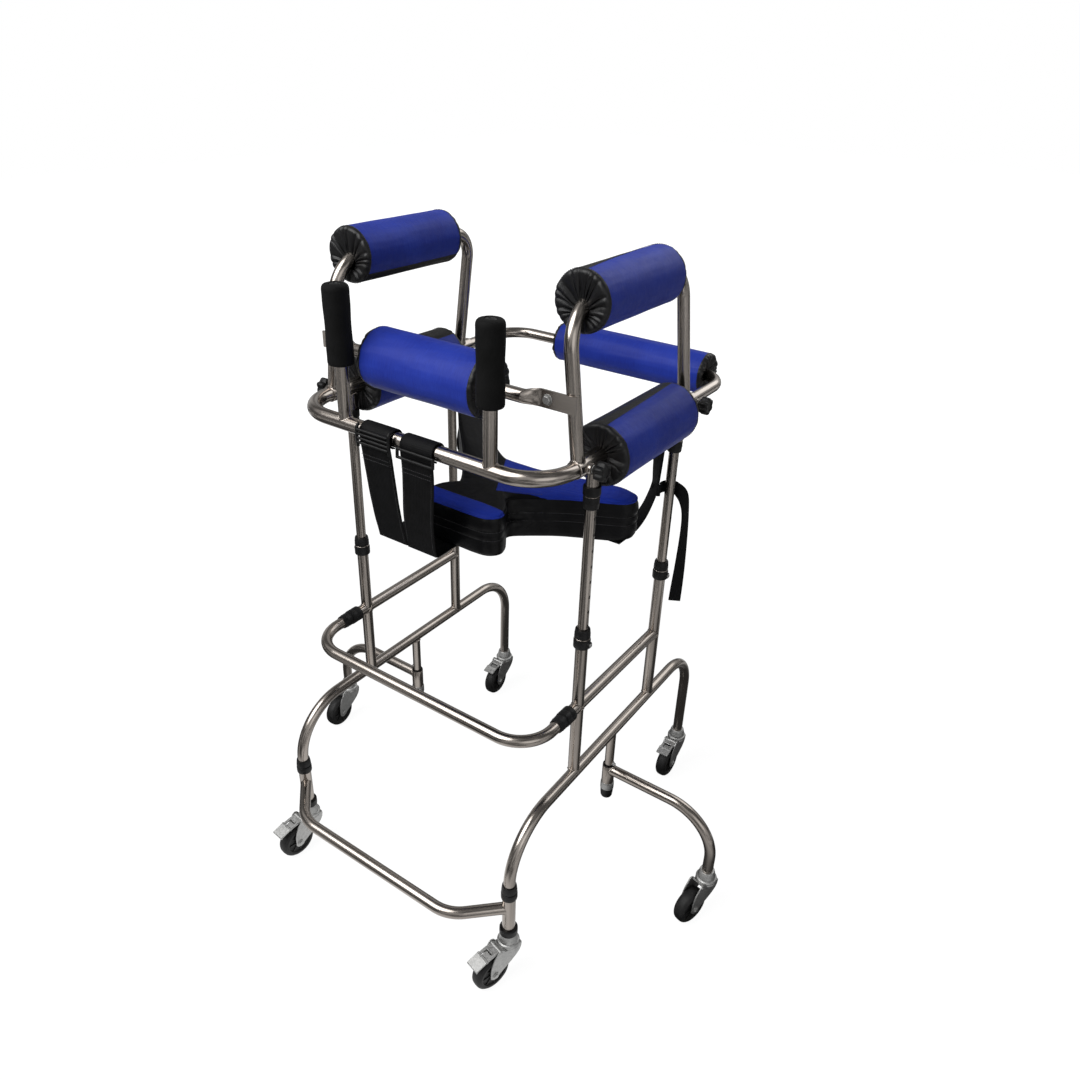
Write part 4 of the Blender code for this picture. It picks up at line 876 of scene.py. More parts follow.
# Grip bar: a U-shaped tube that slides in the front mouths of the side tubes, with two welded
# posts under closed-cell foam grips. Each grip is a soft moulded sleeve with a pressed-in plug.
GRIP_BAR_Y, GRIP_SPREAD, GRIP_SHIFT, GRIP_RADIUS = -0.234, 0.1285, 0.0095, 0.0184
GRIP_BOTTOM, GRIP_TOP, BAR_INSERTION, GRIP_WAVE = 0.936, 1.045, 0.080, 0.0004
GRIP_BAR_BEND = SIDE_FRONT - GRIP_BAR_Y - 0.0005
PLUG_SECTION = [
    (0.0, GRIP_TOP - 0.0032), (0.0074, GRIP_TOP - 0.0032), (0.0074, GRIP_TOP - 0.0008),
    (0.0068, GRIP_TOP - 0.0003), (0.0040, GRIP_TOP - 0.0001), (0.0034, GRIP_TOP - 0.0008),
    (0.0, GRIP_TOP - 0.0009),
]

foam = Finish("matt_grip_foam", Specular_IOR_Level=0.15)
cells = foam.node("ShaderNodeTexVoronoi", None, {"Vector": foam.place(), "Scale": 900.0},
                  output="Distance")
palm = foam.grain(foam.place(), 45, 3.0, 0.6)
grip_foam = foam.done(
    Base_Color=foam.mixed(foam.between(palm, 0.3, 0.75),
                          (0.002, 0.002, 0.002, 1), (0.006, 0.006, 0.0062, 1)),
    Roughness=0.66 + palm * 0.2,
    Normal=foam.bump(cells, 0.00022))


def grip_section():
    """The foam sleeve's outline: a rolled lower rim, a faintly wavy side and a round top."""
    section = [
        (0.0098, GRIP_BOTTOM + 0.004), (0.0100, GRIP_BOTTOM + 0.0006), (0.0112, GRIP_BOTTOM),
        (0.0158, GRIP_BOTTOM), (0.0175, GRIP_BOTTOM + 0.0008), (0.0183, GRIP_BOTTOM + 0.0030),
        (GRIP_RADIUS, GRIP_BOTTOM + 0.0060),
    ]
    for step in range(1, 14):
        share = step / 14
        section.append((GRIP_RADIUS + GRIP_WAVE * math.sin(share * math.pi * 3.0) - GRIP_WAVE,
                        GRIP_BOTTOM + 0.006 + share * (GRIP_TOP - GRIP_BOTTOM - 0.014)))
    return section + [
        (GRIP_RADIUS, GRIP_TOP - 0.0080), (0.0181, GRIP_TOP - 0.0052), (0.0171, GRIP_TOP - 0.0026),
        (0.0153, GRIP_TOP - 0.0009), (0.0126, GRIP_TOP - 0.0001), (0.0088, GRIP_TOP),
        (0.0083, GRIP_TOP - 0.0004), (0.0080, GRIP_TOP - 0.0016), (0.0078, GRIP_TOP - 0.0030),
        (0.0, GRIP_TOP - 0.0030),
    ]


bm = bmesh.new()
tube(bm, u_line(SIDE_X, SIDE_FRONT + BAR_INSERTION, GRIP_BAR_Y, SIDE_Z, GRIP_BAR_BEND), GRIP_BAR)
for _, side in SIDES:
    x = side * GRIP_SPREAD + GRIP_SHIFT
    tube(bm, [(x, GRIP_BAR_Y, SIDE_Z), (x, GRIP_BAR_Y, GRIP_TOP - 0.016)], TUBE)
    weld(bm, (x, GRIP_BAR_Y, SIDE_Z), (1, 0, 0), GRIP_BAR, (0, 0, 1), TUBE)
piece("grip_bar_tubes", bm, [steel_tube], "grip_slider", "steel_tube", "grip_bar")
for name, side in SIDES:
    x = side * GRIP_SPREAD + GRIP_SHIFT
    bm = bmesh.new()
    turned(bm, grip_section(), (x, GRIP_BAR_Y, 0), sides=72)
    piece(f"foam_grip_{name}", bm, [grip_foam], "grip_slider", "grip_foam", f"grip_{name}")
    bm = bmesh.new()
    turned(bm, PLUG_SECTION, (x, GRIP_BAR_Y, 0))
    piece(f"grip_plug_{name}", bm, [black_plastic], "grip_slider", "black_plastic")


# Back bar: a plain stainless tube, bent twice to reach behind the child, that slides in the rear
# mouths of the side tubes and carries the back roll.
BACK_BAR_Y, BACK_BAR_BEND = 0.301, 0.055
bm = bmesh.new()
tube(bm, u_line(SIDE_X, SIDE_REAR - BAR_INSERTION, BACK_BAR_Y, SIDE_Z, BACK_BAR_BEND), TUBE)
piece("back_bar_tube", bm, [steel_tube], "back_slider", "steel_tube", "back_bar")


# Padded rolls: firm foam sleeves in royal-blue nylon covers. A black lining panel runs along one
# side of each, and black end cloths are drawn in round the tube with a cord, so that they pleat.
ARM_ROLL, WAIST_ROLL = (0.0400, -0.134, 0.078), (0.0445, -0.109, 0.109)
CHEST_ROLL, BACK_ROLL = (0.0430, -0.104, 0.099), (0.0345, -0.108, 0.192)
ROLL_AROUND, ROLL_BORE, SIDE_COURSE, SIDE_START = 192, 0.0104, 0.0065, 0.018
END_COURSES, END_DISH, END_SWELL, PLEAT_DEPTH = 19, 0.0052, 0.0034, 0.0052
SHOULDER, SHOULDER_COURSES, SHOULDER_PLEAT, RIM_PUCKER = 0.0065, 6, 0.0029, 0.0015
HEM_PUCKERS = ((0.0080, 0.35), (0.0088, 0.12), (0.0160, 0.05))
STITCH = {"Length": 0.0034, "Thread": (0.0013, 0.0004, 0.0004)}
UP = Vector((0, 0, 1))


def cloth_finish(name, low, high, rough, gloss, sheen, panel=None):
    """Close-woven nylon: fine plain weave, soft creases and a little unevenness in its dye."""
    nylon = Finish(name, Sheen_Weight=sheen, Sheen_Roughness=0.45, Specular_IOR_Level=gloss)
    warp = nylon.wave("X", 9000)
    weft = nylon.wave("Y", 9000)
    crease = nylon.grain(nylon.place(), 55, 4.0, 0.6)
    shade = nylon.grain(nylon.place(), 14, 3.0, 0.55)
    slub = nylon.grain(nylon.lay((60, 900, 1)), 1.0, 2.0)
    dye = nylon.mixed(nylon.between(shade * 0.55 + slub * 0.45, 0.3, 0.7), low, high)
    return nylon.done(
        Base_Color=nylon.mixed(panel(nylon), (0.0025, 0.0025, 0.003, 1), dye) if panel else dye,
        Roughness=rough + crease * 0.16 - warp * weft * 0.05,
        Normal=nylon.bump(warp * weft + slub, 0.00005, nylon.bump(crease, 0.0007)))


def seat_panels(nylon):
    """1 where the seat's top is blue: its right wing, and a strip across the nose."""
    point = nylon.node("ShaderNodeSeparateXYZ", None, {0: nylon.place()}, output="X")
    across = nylon.node("ShaderNodeSeparateXYZ", None, {0: nylon.place()}, output="Y")
    inner = nylon.maths("GREATER_THAN", point + across * 0.567, -0.0090)
    rear = nylon.maths("GREATER_THAN", across - point * 0.52, -0.1338)
    nose = nylon.maths("LESS_THAN", across, -0.1505)
    return nylon.maths("MAXIMUM", inner * rear, nose)


BLUES = (0.009, 0.022, 0.24, 1), (0.018, 0.045, 0.39, 1)
blue_nylon = cloth_finish("royal_blue_nylon", *BLUES, 0.42, 0.18, 0.02)
seat_nylon = cloth_finish("seat_top_nylon", *BLUES, 0.42, 0.08, 0.0, seat_panels)
BLACKS = (0.0015, 0.0015, 0.0018, 1), (0.005, 0.005, 0.006, 1)
black_nylon = cloth_finish("black_lining_nylon", *BLACKS, 0.27, 0.15, 0.0)
end_nylon = cloth_finish("black_gathered_nylon", *BLACKS, 0.34, 0.36, 0.02)

thread = Finish("sewing_thread", Sheen_Weight=0.1)
ply = thread.grain(thread.place(), 3000, 2.0)
black_thread = thread.done(
    Base_Color=thread.mixed(ply, (0.012, 0.012, 0.014, 1), (0.045, 0.045, 0.05, 1)),
    Roughness=0.6 + ply * 0.2,
    Normal=thread.bump(ply, 0.0001))


def stitches(graph, given):
    """Short raised threads along a path, one to every stitch length."""
    line = graph.node("GeometryNodeMeshToCurve", None, {"Mesh": given["Path"]})
    line = graph.node("GeometryNodeResampleCurve", {"mode": "LENGTH"}, {
        "Curve": line, "Length": given["Length"]})
    along = graph.node("GeometryNodeInputTangent")
    thread = graph.node("GeometryNodeMeshUVSphere", None, {"Segments": 6, "Rings": 4, "Radius": 1.0})
    turn = graph.node("FunctionNodeAlignEulerToVector", {"axis": "X"}, {"Vector": along})
    return graph.node("GeometryNodeInstanceOnPoints", None, {
        "Points": line, "Instance": thread, "Rotation": turn, "Scale": given["Thread"]})


def sewn(name, points, loop=False):
    """A row of stitches along a line of points."""
    mesh = bpy.data.meshes.new("seam")
    edges = [(k, k + 1) for k in range(len(points) - 1)] + ([(len(points) - 1, 0)] if loop else [])
    mesh.from_pydata([tuple(point) for point in points], edges, [])
    return repeated(name, black_thread, {"Path": mesh, **STITCH}, stitches)


def sewn_piece(name, seams, body):
    """One piece out of all the rows of stitches on a cover."""
    bm = bmesh.new()
    for mesh in seams:
        bm.from_mesh(mesh)
    piece(name, bm, [black_thread], body, "black_webbing", crisp=60)


class Roll:
    """The shape of one cover: measures are its radius and how far it reaches each way."""

    def __init__(self, axis, centre, measures, holes, seed, twist, pleats):
        self.centre, self.holes, self.seed = Vector(centre), holes, seed
        self.radius, self.low, self.high = measures
        self.twist, self.pleats = math.radians(twist), pleats
        self.out = Vector((0, 1, 0)) if axis == "Y" else Vector((1, 0, 0))
        self.first = Vector((1, 0, 0)) if axis == "Y" else Vector((0, 1, 0))

    def wound(self, at):
        """How far the cover is wound round the roll at a place along it."""
        return self.twist * (2 * at - self.low - self.high) / (self.high - self.low) / 2

    def spoke(self, angle):
        return self.first * math.cos(angle) + UP * math.sin(angle)

    def pleat(self, angle):
        """Uneven folds of a gathered end, 0 in each valley."""
        seed = self.seed
        folded = angle + 0.10 * math.sin(3 * angle + seed) + 0.07 * math.sin(7 * angle + 2.1 * seed)
        turn = folded * self.pleats / 2
        fold = math.floor(turn / math.pi + 100)
        strength = 0.55 + 0.45 * math.sin(fold * 2.7 + seed * 3)
        return (abs(math.sin(turn)) ** 0.7) * (0.45 + 0.55 * strength)

    def ring(self, at, size, drawn=0.0, hole=None, gather=None, edge=0.0):
        """One course: drawn pulls it to the hole, gather pleats it along the roll, edge puckers it."""
        middle = self.centre + self.out * at
        if hole is not None and drawn > 0:
            offset = at - (Vector(hole) - self.centre).dot(self.out)
            middle = middle.lerp(Vector(hole) + self.out * offset, drawn)
        points = []
        for turn in round_about(ROLL_AROUND):
            angle = turn + self.wound(at)
            c, s = math.cos(angle), math.sin(angle)
            lift = edge * (self.pleat(angle) - 0.8) * RIM_PUCKER
            push = 0.0
            if gather is None:
                lift += 0.0010 * noise.noise(Vector((c * 2.2, s * 2.2, at * 7 + self.seed * 4)))
                lift += 0.0003 * noise.noise(Vector((c * 6, s * 6, at * 22 + self.seed)))
            else:
                push = gather * self.pleat(angle)
            points.append(middle + self.spoke(angle) * (size + lift) + self.out * push)
        return points

    def gathered_end(self, end, way, hole):
        """The pleated end cloth, from the hole out over the shoulder."""
        rings = []
        for step in range(END_COURSES):
            share = step / (END_COURSES - 1)
            size = ROLL_BORE + (self.radius - SHOULDER - ROLL_BORE) * share ** 1.15
            swell = min(1.0, 3.4 * share) * (1 - 0.45 * share)
            at = end - way * (END_DISH * (1 - share) ** 1.5 + END_SWELL * swell + 0.0002)
            gather = way * (PLEAT_DEPTH * swell + 0.0006 * (1 - share))
            rings.append(self.ring(at, size, (1 - share) ** 1.4, hole, gather))
        for step in range(1, SHOULDER_COURSES + 1):
            angle = math.radians(90) * step / SHOULDER_COURSES
            size = self.radius - SHOULDER * (1 - math.sin(angle))
            at = end - way * (SHOULDER * (1 - math.cos(angle)) + 0.0019 * math.cos(angle))
            gather = way * SHOULDER_PLEAT * math.cos(angle)
            rings.append(self.ring(at, size, gather=gather, edge=0.45 * math.sin(angle)))
        return rings

    def courses(self):
        """All the rings from the low end to the high one, and whether each is end cloth."""
        parts = []
        for end, way, hole in ((self.low, -1, self.holes[0]), (self.high, 1, self.holes[1])):
            cap = self.gathered_end(end, way, self.centre + self.out * end + hole)
            hem = [self.ring(end - way * reach, self.radius, edge=edge) for reach, edge in HEM_PUCKERS]
            parts.append((cap + hem, [True] * len(cap) + [False] * len(hem)))
        (rings, capped), (far_rings, far_capped) = parts
        length = self.high - self.low - 2 * SIDE_START
        steps = max(10, int(length / SIDE_COURSE))
        for step in range(steps + 1):
            rings.append(self.ring(self.low + SIDE_START + length * step / steps, self.radius))
            capped.append(False)
        return rings + far_rings[::-1], capped + far_capped[::-1]

    def seams(self, dark):
        """Rows of stitches down the lining's edges and round both ends."""
        rows = []
        for degrees in (edge for sector in dark for edge in sector):
            line = []
            for k in range(25):
                at = self.low + 0.010 + (self.high - self.low - 0.020) * k / 24
                spoke = self.spoke(math.radians(degrees) + self.wound(at))
                line.append(self.centre + self.out * at + spoke * (self.radius + 0.0004))
            rows.append(sewn("cover_stitches", line))
        for end, way in ((self.low, -1), (self.high, 1)):
            rows.append(sewn("end_stitches", [
                self.centre + self.out * (end - way * 0.0072) + self.spoke(angle) * (self.radius + 0.0001)
                for angle in round_about(96)], True))
        return rows


def padded_roll(name, node, body, axis, centre, measures, holes, dark, seed, twist=0.0, pleats=18):
    """One roll: holes are how far its bar leaves each end off centre, dark its lining in degrees."""
    roll = Roll(axis, centre, measures, holes, seed, twist, pleats)
    rings, capped = roll.courses()
    bm = bmesh.new()
    rows = skin(bm, rings, math.tau * roll.radius, ends=False)
    place_of = {vert: (course, k) for course, row in enumerate(rows) for k, vert in enumerate(row)}
    for face in bm.faces:
        courses, columns = zip(*(place_of[vert] for vert in face.verts))
        course, column = min(courses), min(columns)
        if max(columns) - column > 2:
            column = max(columns)
        degrees = 360 * column / ROLL_AROUND
        lined = any(a <= degrees < b or a <= degrees - 360 < b for a, b in dark)
        gathered = capped[course] or capped[min(course + 1, len(capped) - 1)]
        face.material_index = 2 if gathered else 1 if lined else 0
    made = piece(name, bm, [blue_nylon, black_nylon, end_nylon], body, "blue_nylon", node, crisp=80)
    sewn_piece(name + "_stitches", roll.seams(dark), body)


CENTRED = (Vector(), Vector())
for name, side in SIDES:
    padded_roll(f"underarm_cushion_{name}", f"underarm_roll_{name}", "upper_frame", "Y",
                (side * ARCH_TOP_X, 0, ARCH_TOP_Z), ARM_ROLL, (Vector((0, 0, -0.010)), Vector()),
                ((97, 205),) if side > 0 else ((-150, -36),), 1.3 + side, 15 + 14 * side)
    padded_roll(f"waist_cushion_{name}", f"waist_roll_{name}", "upper_frame", "Y",
                (side * SIDE_X, 0, SIDE_Z), WAIST_ROLL, CENTRED,
                ((88, 200),) if side > 0 else ((60, 170),), 2.9 + side, 7 + 7 * side)
padded_roll("chest_cushion", "chest_roll", "upper_frame", "X", (0, CHEST_BAR_Y, CHEST_BAR_Z), CHEST_ROLL,
            CENTRED, ((-60, 20),), 4.4)
padded_roll("back_cushion", "back_roll", "back_slider", "X", (0, BACK_BAR_Y, SIDE_Z), BACK_ROLL,
            (Vector(), Vector((0, -0.008, 0))), ((-60, 30),), 6.1, pleats=20)


# Seat: a padded sling saddle hung in the webbing. Its right wing and nose are blue on top, its
# black boxed sides are sewn along two lines, and the rear strap curls up its left wing.
SEAT_SHIFT, SEAT_BOTTOM, SEAT_MIDDLE, CURL_START = 0.028, 0.674, -0.070, -0.040
CURL_RISE, CURL_DRAW, CURL_SWEEP = 5.0, 0.28, 0.20
CREASE, WAIST_CREASE, SEAT_HIGH = 0.0016, 0.0060, 0.066
PIPING, PIPING_SCALE, PIPING_HEIGHT, PANEL_SEAM_HEIGHT = 0.0012, 0.987, 0.0652, 0.0722
SEAT_HALF = [
    (0.000, -0.180), (0.040, -0.180), (0.062, -0.175), (0.073, -0.160), (0.066, -0.138),
    (0.052, -0.122), (0.050, -0.108), (0.062, -0.094), (0.085, -0.076), (0.110, -0.058),
    (0.140, -0.041), (0.175, -0.024), (0.196, -0.010), (0.201, 0.008), (0.190, 0.024),
    (0.160, 0.028), (0.110, 0.018), (0.050, 0.006), (0.000, 0.003),
]
SIDE_LAYERS = [
    (0.02, 0.0000), (0.30, 0.0000), (0.60, 0.0000), (0.85, 0.0002), (0.94, 0.0010), (0.980, 0.0040),
    (0.993, 0.0090), (0.999, 0.0160), (1.000, 0.0230), (0.997, 0.0268), (0.990, 0.0284),
    (0.997, 0.0300), (1.000, 0.0350), (0.997, 0.0402), (0.990, 0.0418), (0.997, 0.0434),
    (1.002, 0.0500), (1.000, 0.0570), (0.994, 0.0620), (0.986, 0.0642),
]
TOP_LAYERS = [
    (0.982, 0.0662), (0.968, 0.0684), (0.930, 0.0700), (0.860, 0.0710), (0.740, 0.0716),
    (0.580, 0.0720), (0.400, 0.0723), (0.220, 0.0724), (0.080, 0.0725), (0.005, 0.0725),
]
GROOVES = (10, 14)
PANEL_SEAMS = (
    ((0.112, -0.0755), (0.0516, -0.107), (0.0057, -0.026)),
    ((0.088, -0.1505), (-0.040, -0.1505)),
)


def seat_place(x, y, z):
    """A point of the flat pattern, moved to the seat's place with its left wing curled up."""
    rise = max(0.0, CURL_START - x)
    lift = CURL_RISE * rise * rise / 2
    return Vector((x + SEAT_SHIFT + rise * CURL_DRAW, y + rise * CURL_SWEEP, z + SEAT_BOTTOM + lift))


def shrunk(point, scale):
    """A point of the outline, drawn in towards the seat's middle."""
    return point.x * scale, SEAT_MIDDLE + (point.y - SEAT_MIDDLE) * scale


def smooth(anchors, steps, loop=False):
    """Points of a smooth curve through the anchors."""
    count = len(anchors)
    result = []
    for k in range(count if loop else count - 1):
        if loop:
            p = [Vector(anchors[(k + j) % count]) for j in (-1, 0, 1, 2)]
        else:
            p = [Vector(anchors[min(max(k + j, 0), count - 1)]) for j in (-1, 0, 1, 2)]
        for step in range(steps):
            t = step / steps
            result.append(0.5 * (
                (2 * p[1]) + (p[2] - p[0]) * t + (2 * p[0] - 5 * p[1] + 4 * p[2] - p[3]) * t * t
                + (3 * p[1] - p[0] - 3 * p[2] + p[3]) * t * t * t))
    if not loop:
        result.append(Vector(anchors[-1]))
    return result


def seat_ring(scale, height, boxed):
    """One course of the cover: the boxed side creases inwards, most at the waist, the top upwards."""
    ring = []
    for point in outline:
        x, y = shrunk(point, scale)
        crease = noise.noise(Vector((x * 28, y * 28, height * 60))) * CREASE
        waist = math.exp(-((abs(x) - 0.055) / 0.040) ** 2) * math.exp(-((y + 0.080) / 0.055) ** 2)
        drawn = noise.noise(Vector((x * 95 + height * 260, y * 95 - height * 120, height * 20)))
        pucker = drawn * WAIST_CREASE * waist * math.sin(min(1, height / SEAT_HIGH) * math.pi)
        if boxed and scale > 0.9:
            inward = Vector((x, y - SEAT_MIDDLE, 0)).normalized()
            shift = inward * (crease + pucker)
            ring.append(seat_place(x + shift.x, y + shift.y, height))
        else:
            ring.append(seat_place(x, y, height if boxed else height + crease * 0.9))
    return ring


outline = smooth(SEAT_HALF + [(-x, y) for x, y in reversed(SEAT_HALF[1:-1])], 6, True)
rings = [seat_ring(*layer, True) for layer in SIDE_LAYERS]
rings += [seat_ring(*layer, False) for layer in TOP_LAYERS]
bm = bmesh.new()
rows = skin(bm, rings)
layer_of = {vert: number for number, row in enumerate(rows) for vert in row}
for face in bm.faces:
    face.material_index = int(max(layer_of[vert] for vert in face.verts) < len(SIDE_LAYERS))
piping = [seat_place(*shrunk(point, PIPING_SCALE), PIPING_HEIGHT) for point in outline]
tube(bm, piping, PIPING, 10, loop=True)
seat_pad = piece("sling_seat", bm, [seat_nylon, black_nylon], "upper_frame", "blue_nylon", "seat", crisp=70)
seams = []
for number in GROOVES:
    scale, height = SIDE_LAYERS[number]
    line = [seat_place(*shrunk(point, scale + 0.004), height) for point in outline]
    seams.append(sewn("seat_stitches", line, True))
for corners in PANEL_SEAMS:
    line = []
    for (x, y), (to_x, to_y) in zip(corners, corners[1:]):
        line += [Vector((x + (to_x - x) * k / 16, y + (to_y - y) * k / 16, SEAT_BOTTOM + PANEL_SEAM_HEIGHT))
                 for k in range(17)]
    seams.append(sewn("panel_stitches", line))
sewn_piece("sling_seat_stitches", seams, "upper_frame")


# Webbing: heavy black polyester straps. Two wide loops round the grip bar hold the seat's front,
# with a ridged ladder buckle on the left one; a long strap under the wings hangs from both side
# tubes, and its free tail is wrapped once round the right rear leg.
STRAP, STRAP_RIM = 0.0025, 0.0006
LOOP_EDGES, HEM_EDGES = ((-0.080, -0.023), (-0.005, 0.052)), ((-0.086, -0.030), (-0.0285, 0.027))
LOOP_RADIUS, FALL_STEPS, FALL_BELLY, LOOP_WAVE = 0.0132, 22, 0.0025, 0.0008
HEM_Y, HEM_REACH, HEM_Z = -0.215, -0.150, SEAT_BOTTOM - 0.0003
SEWN_PART, SEAM_LIFT, EDGE_SEAM = slice(26, 45), 0.0014, 0.0035
CROSS_SEAM, CROSS_SEAM_DROPS, CROSS_SEAM_Y = 0.004, (0.030, 0.036), GRIP_BAR_Y - 0.0150
LOOP_TOP = ((0, 0.4), (0.02, 1), (0.25, 1), (0.5, 1), (0.75, 1), (0.98, 1), (1, 0.4))
LADDER_X, LADDER_HALF, LADDER_SIDE = sum(LOOP_EDGES[0]) / 2, 0.0295, 0.0024
LADDER_COURSE = ((-0.0120, 0.0125), (-0.0162, 0.0090), (-0.0170, -0.0060), (-0.0160, -0.0195))
RIB, RIB_LENGTH, RIB_COUNT, RIB_PITCH = 0.0021, 0.0560, 4, (0.0, -0.0001, -0.0062)
FIRST_RIB = (LADDER_X, GRIP_BAR_Y - 0.0172, SIDE_Z + 0.0060)
SLIDE_BAR, SLIDE_BAR_REACH, SLIDE_BARS = 0.0021, (0.056, -0.009), ((-0.0150, -0.0040), (-0.0158, -0.0160))
SLIDE_END, SLIDE_END_X, SLIDE_END_Z = 0.0023, (0.055, -0.008), (-0.0030, -0.0170)
COLUMN_X, COLUMN_Y, COLUMN_TOP, REAR_STRAP_WIDTH = 0.205, 0.111, 0.8385, 0.024
UNDER_SEAT, SIDE_LOOP = SEAT_BOTTOM - STRAP / 2 - 0.0006, 0.0141
TAIL_X, TAIL_Z, TAIL_RADIUS, TAIL_WIDTH, TAIL_THICK = COLUMN_X - 0.005, 0.711, 0.0165, 0.0204, 0.0019

webbing = Finish("black_strap_webbing", Specular_IOR_Level=0.13)
across = webbing.wave("X", 3900)
along = webbing.wave("Y", 2600)
wear = webbing.grain(webbing.place(), 70, 4.0, 0.6)
fuzz = webbing.grain(webbing.place(), 1500, 2.0)
strap_webbing = webbing.done(
    Base_Color=webbing.mixed(webbing.between(wear + across * along * 0.25, 0.35, 0.85),
                             (0.0015, 0.0015, 0.0018, 1), (0.006, 0.006, 0.0066, 1)),
    Roughness=0.50 + wear * 0.25,
    Normal=webbing.bump(across * along + fuzz * 0.5, 0.00028))


def ribbon(bm, line, axes, width, thickness):
    """A flat woven strap along a line: axes gives the direction of its width at each point."""
    last = len(line) - 1
    half, thin = width / 2, thickness / 2
    rim = half - STRAP_RIM
    top = [(-half, thin * 0.5), (-rim, thin), (-half * 0.5, thin), (0, thin), (half * 0.5, thin),
           (rim, thin), (half, thin * 0.5)]
    section = [(w, -t) for w, t in top] + top[::-1]
    rings = []
    for k, point in enumerate(line):
        course = (Vector(line[min(k + 1, last)]) - Vector(line[max(k - 1, 0)])).normalized()
        side = Vector(axes[k])
        side = (side - course * side.dot(course)).normalized()
        normal = course.cross(side)
        rings.append([Vector(point) + side * w + normal * t for w, t in section])
    skin(bm, rings, around=2 * (width + thickness))


def smooth_strap(bm, anchors, axes, steps, width, thickness):
    ribbon(bm, smooth(anchors, steps), smooth(axes, steps), width, thickness)


def hanging_line(edges, hem_edges):
    """A loop's side view, round the bar and down to its hem, with its two edges at each point."""
    line, widths = [], []
    for step in range(-5, 18):
        angle = math.radians(15 * step)
        line.append(Vector((0, GRIP_BAR_Y + LOOP_RADIUS * math.cos(angle),
                            SIDE_Z + LOOP_RADIUS * math.sin(angle))))
        widths.append(edges)
    for step in range(FALL_STEPS + 1):
        share = step / FALL_STEPS
        belly = FALL_BELLY * math.sin(share * math.pi)
        line.append(Vector((0, (GRIP_BAR_Y - LOOP_RADIUS) * (1 - share) + HEM_Y * share - belly,
                            (SIDE_Z - 0.006) * (1 - share) + (HEM_Z - 0.0006) * share)))
        ease = share * share * (3 - 2 * share)
        widths.append(tuple(top + (hem - top) * ease for top, hem in zip(edges, hem_edges)))
    flat = HEM_Z - STRAP / 2 - 0.0004
    line += [Vector((0, HEM_Y + 0.004, HEM_Z - 0.0022)), Vector((0, HEM_Y + 0.030, flat)),
             Vector((0, HEM_REACH, flat))]
    return line, widths + [hem_edges] * 3


def wide_loop(bm, line, widths):
    """The loop's cloth: its edges stay level while it narrows or widens on its way down."""
    rings = []
    last = len(line) - 1
    section = [(share, -thick) for share, thick in LOOP_TOP] + list(LOOP_TOP[::-1])
    for k, (point, (start, end)) in enumerate(zip(line, widths)):
        course = (line[min(k + 1, last)] - line[max(k - 1, 0)]).normalized()
        normal = course.cross(Vector((1, 0, 0)))
        wave = LOOP_WAVE * noise.noise(Vector((point.z * 30, start * 50, 1)))
        rings.append([Vector((start + (end - start) * share, point.y, point.z))
                      + normal * (thick * STRAP / 2 + wave) for share, thick in section])
    skin(bm, rings, around=2 * (widths[0][1] - widths[0][0]))


def loop_seams(line, widths):
    """Stitches down both edges of a loop and twice across it under the buckle."""
    left, right = widths[0]
    edges = []
    for end, inward in ((0, EDGE_SEAM), (1, -EDGE_SEAM)):
        edges.append([Vector((width[end] + inward, point.y - SEAM_LIFT, point.z))
                      for point, width in zip(line[SEWN_PART], widths[SEWN_PART])])
    for drop in CROSS_SEAM_DROPS:
        edges.append([Vector((left + CROSS_SEAM + (right - left - 2 * CROSS_SEAM) * k / 12,
                              CROSS_SEAM_Y, SIDE_Z - drop)) for k in range(13)])
    return [sewn("strap_stitches", edge) for edge in edges]


def ladder_ribs(graph, given):
    """Rounded ribs side by side down the buckle's face."""
    line = graph.node("GeometryNodeMeshLine", {"mode": "OFFSET"}, {
        "Count": given["Count"], "Start Location": given["First"], "Offset": given["Pitch"]})
    rib = graph.node("GeometryNodeMeshCylinder", None, {
        "Vertices": 12, "Radius": given["Rib"], "Depth": given["Width"]})
    rib = graph.node("GeometryNodeTransform", None, {
        "Geometry": rib, "Rotation": (0.0, math.radians(90), 0.0)})
    return graph.node("GeometryNodeInstanceOnPoints", None, {"Points": line, "Instance": rib})


def under_seat(rise, depth):
    """A point depth below the seat's underside, rise metres past the start of its curl."""
    tilt = math.atan2(CURL_RISE * rise, 1 - CURL_DRAW)
    x = CURL_START + SEAT_SHIFT - rise * (1 - CURL_DRAW)
    z = SEAT_BOTTOM + CURL_RISE * rise * rise / 2
    return Vector((x - depth * math.sin(tilt), rise * CURL_SWEEP - 0.004, z - depth * math.cos(tilt)))


bm = bmesh.new()
seams = []
for edges, hem_edges in zip(LOOP_EDGES, HEM_EDGES):
    line, widths = hanging_line(edges, hem_edges)
    wide_loop(bm, line, widths)
    seams += loop_seams(line, widths)
piece("front_webbing", bm, [strap_webbing], "grip_slider", "black_webbing", "front_strap", crisp=50)
sewn_piece("front_webbing_stitches", seams, "grip_slider")

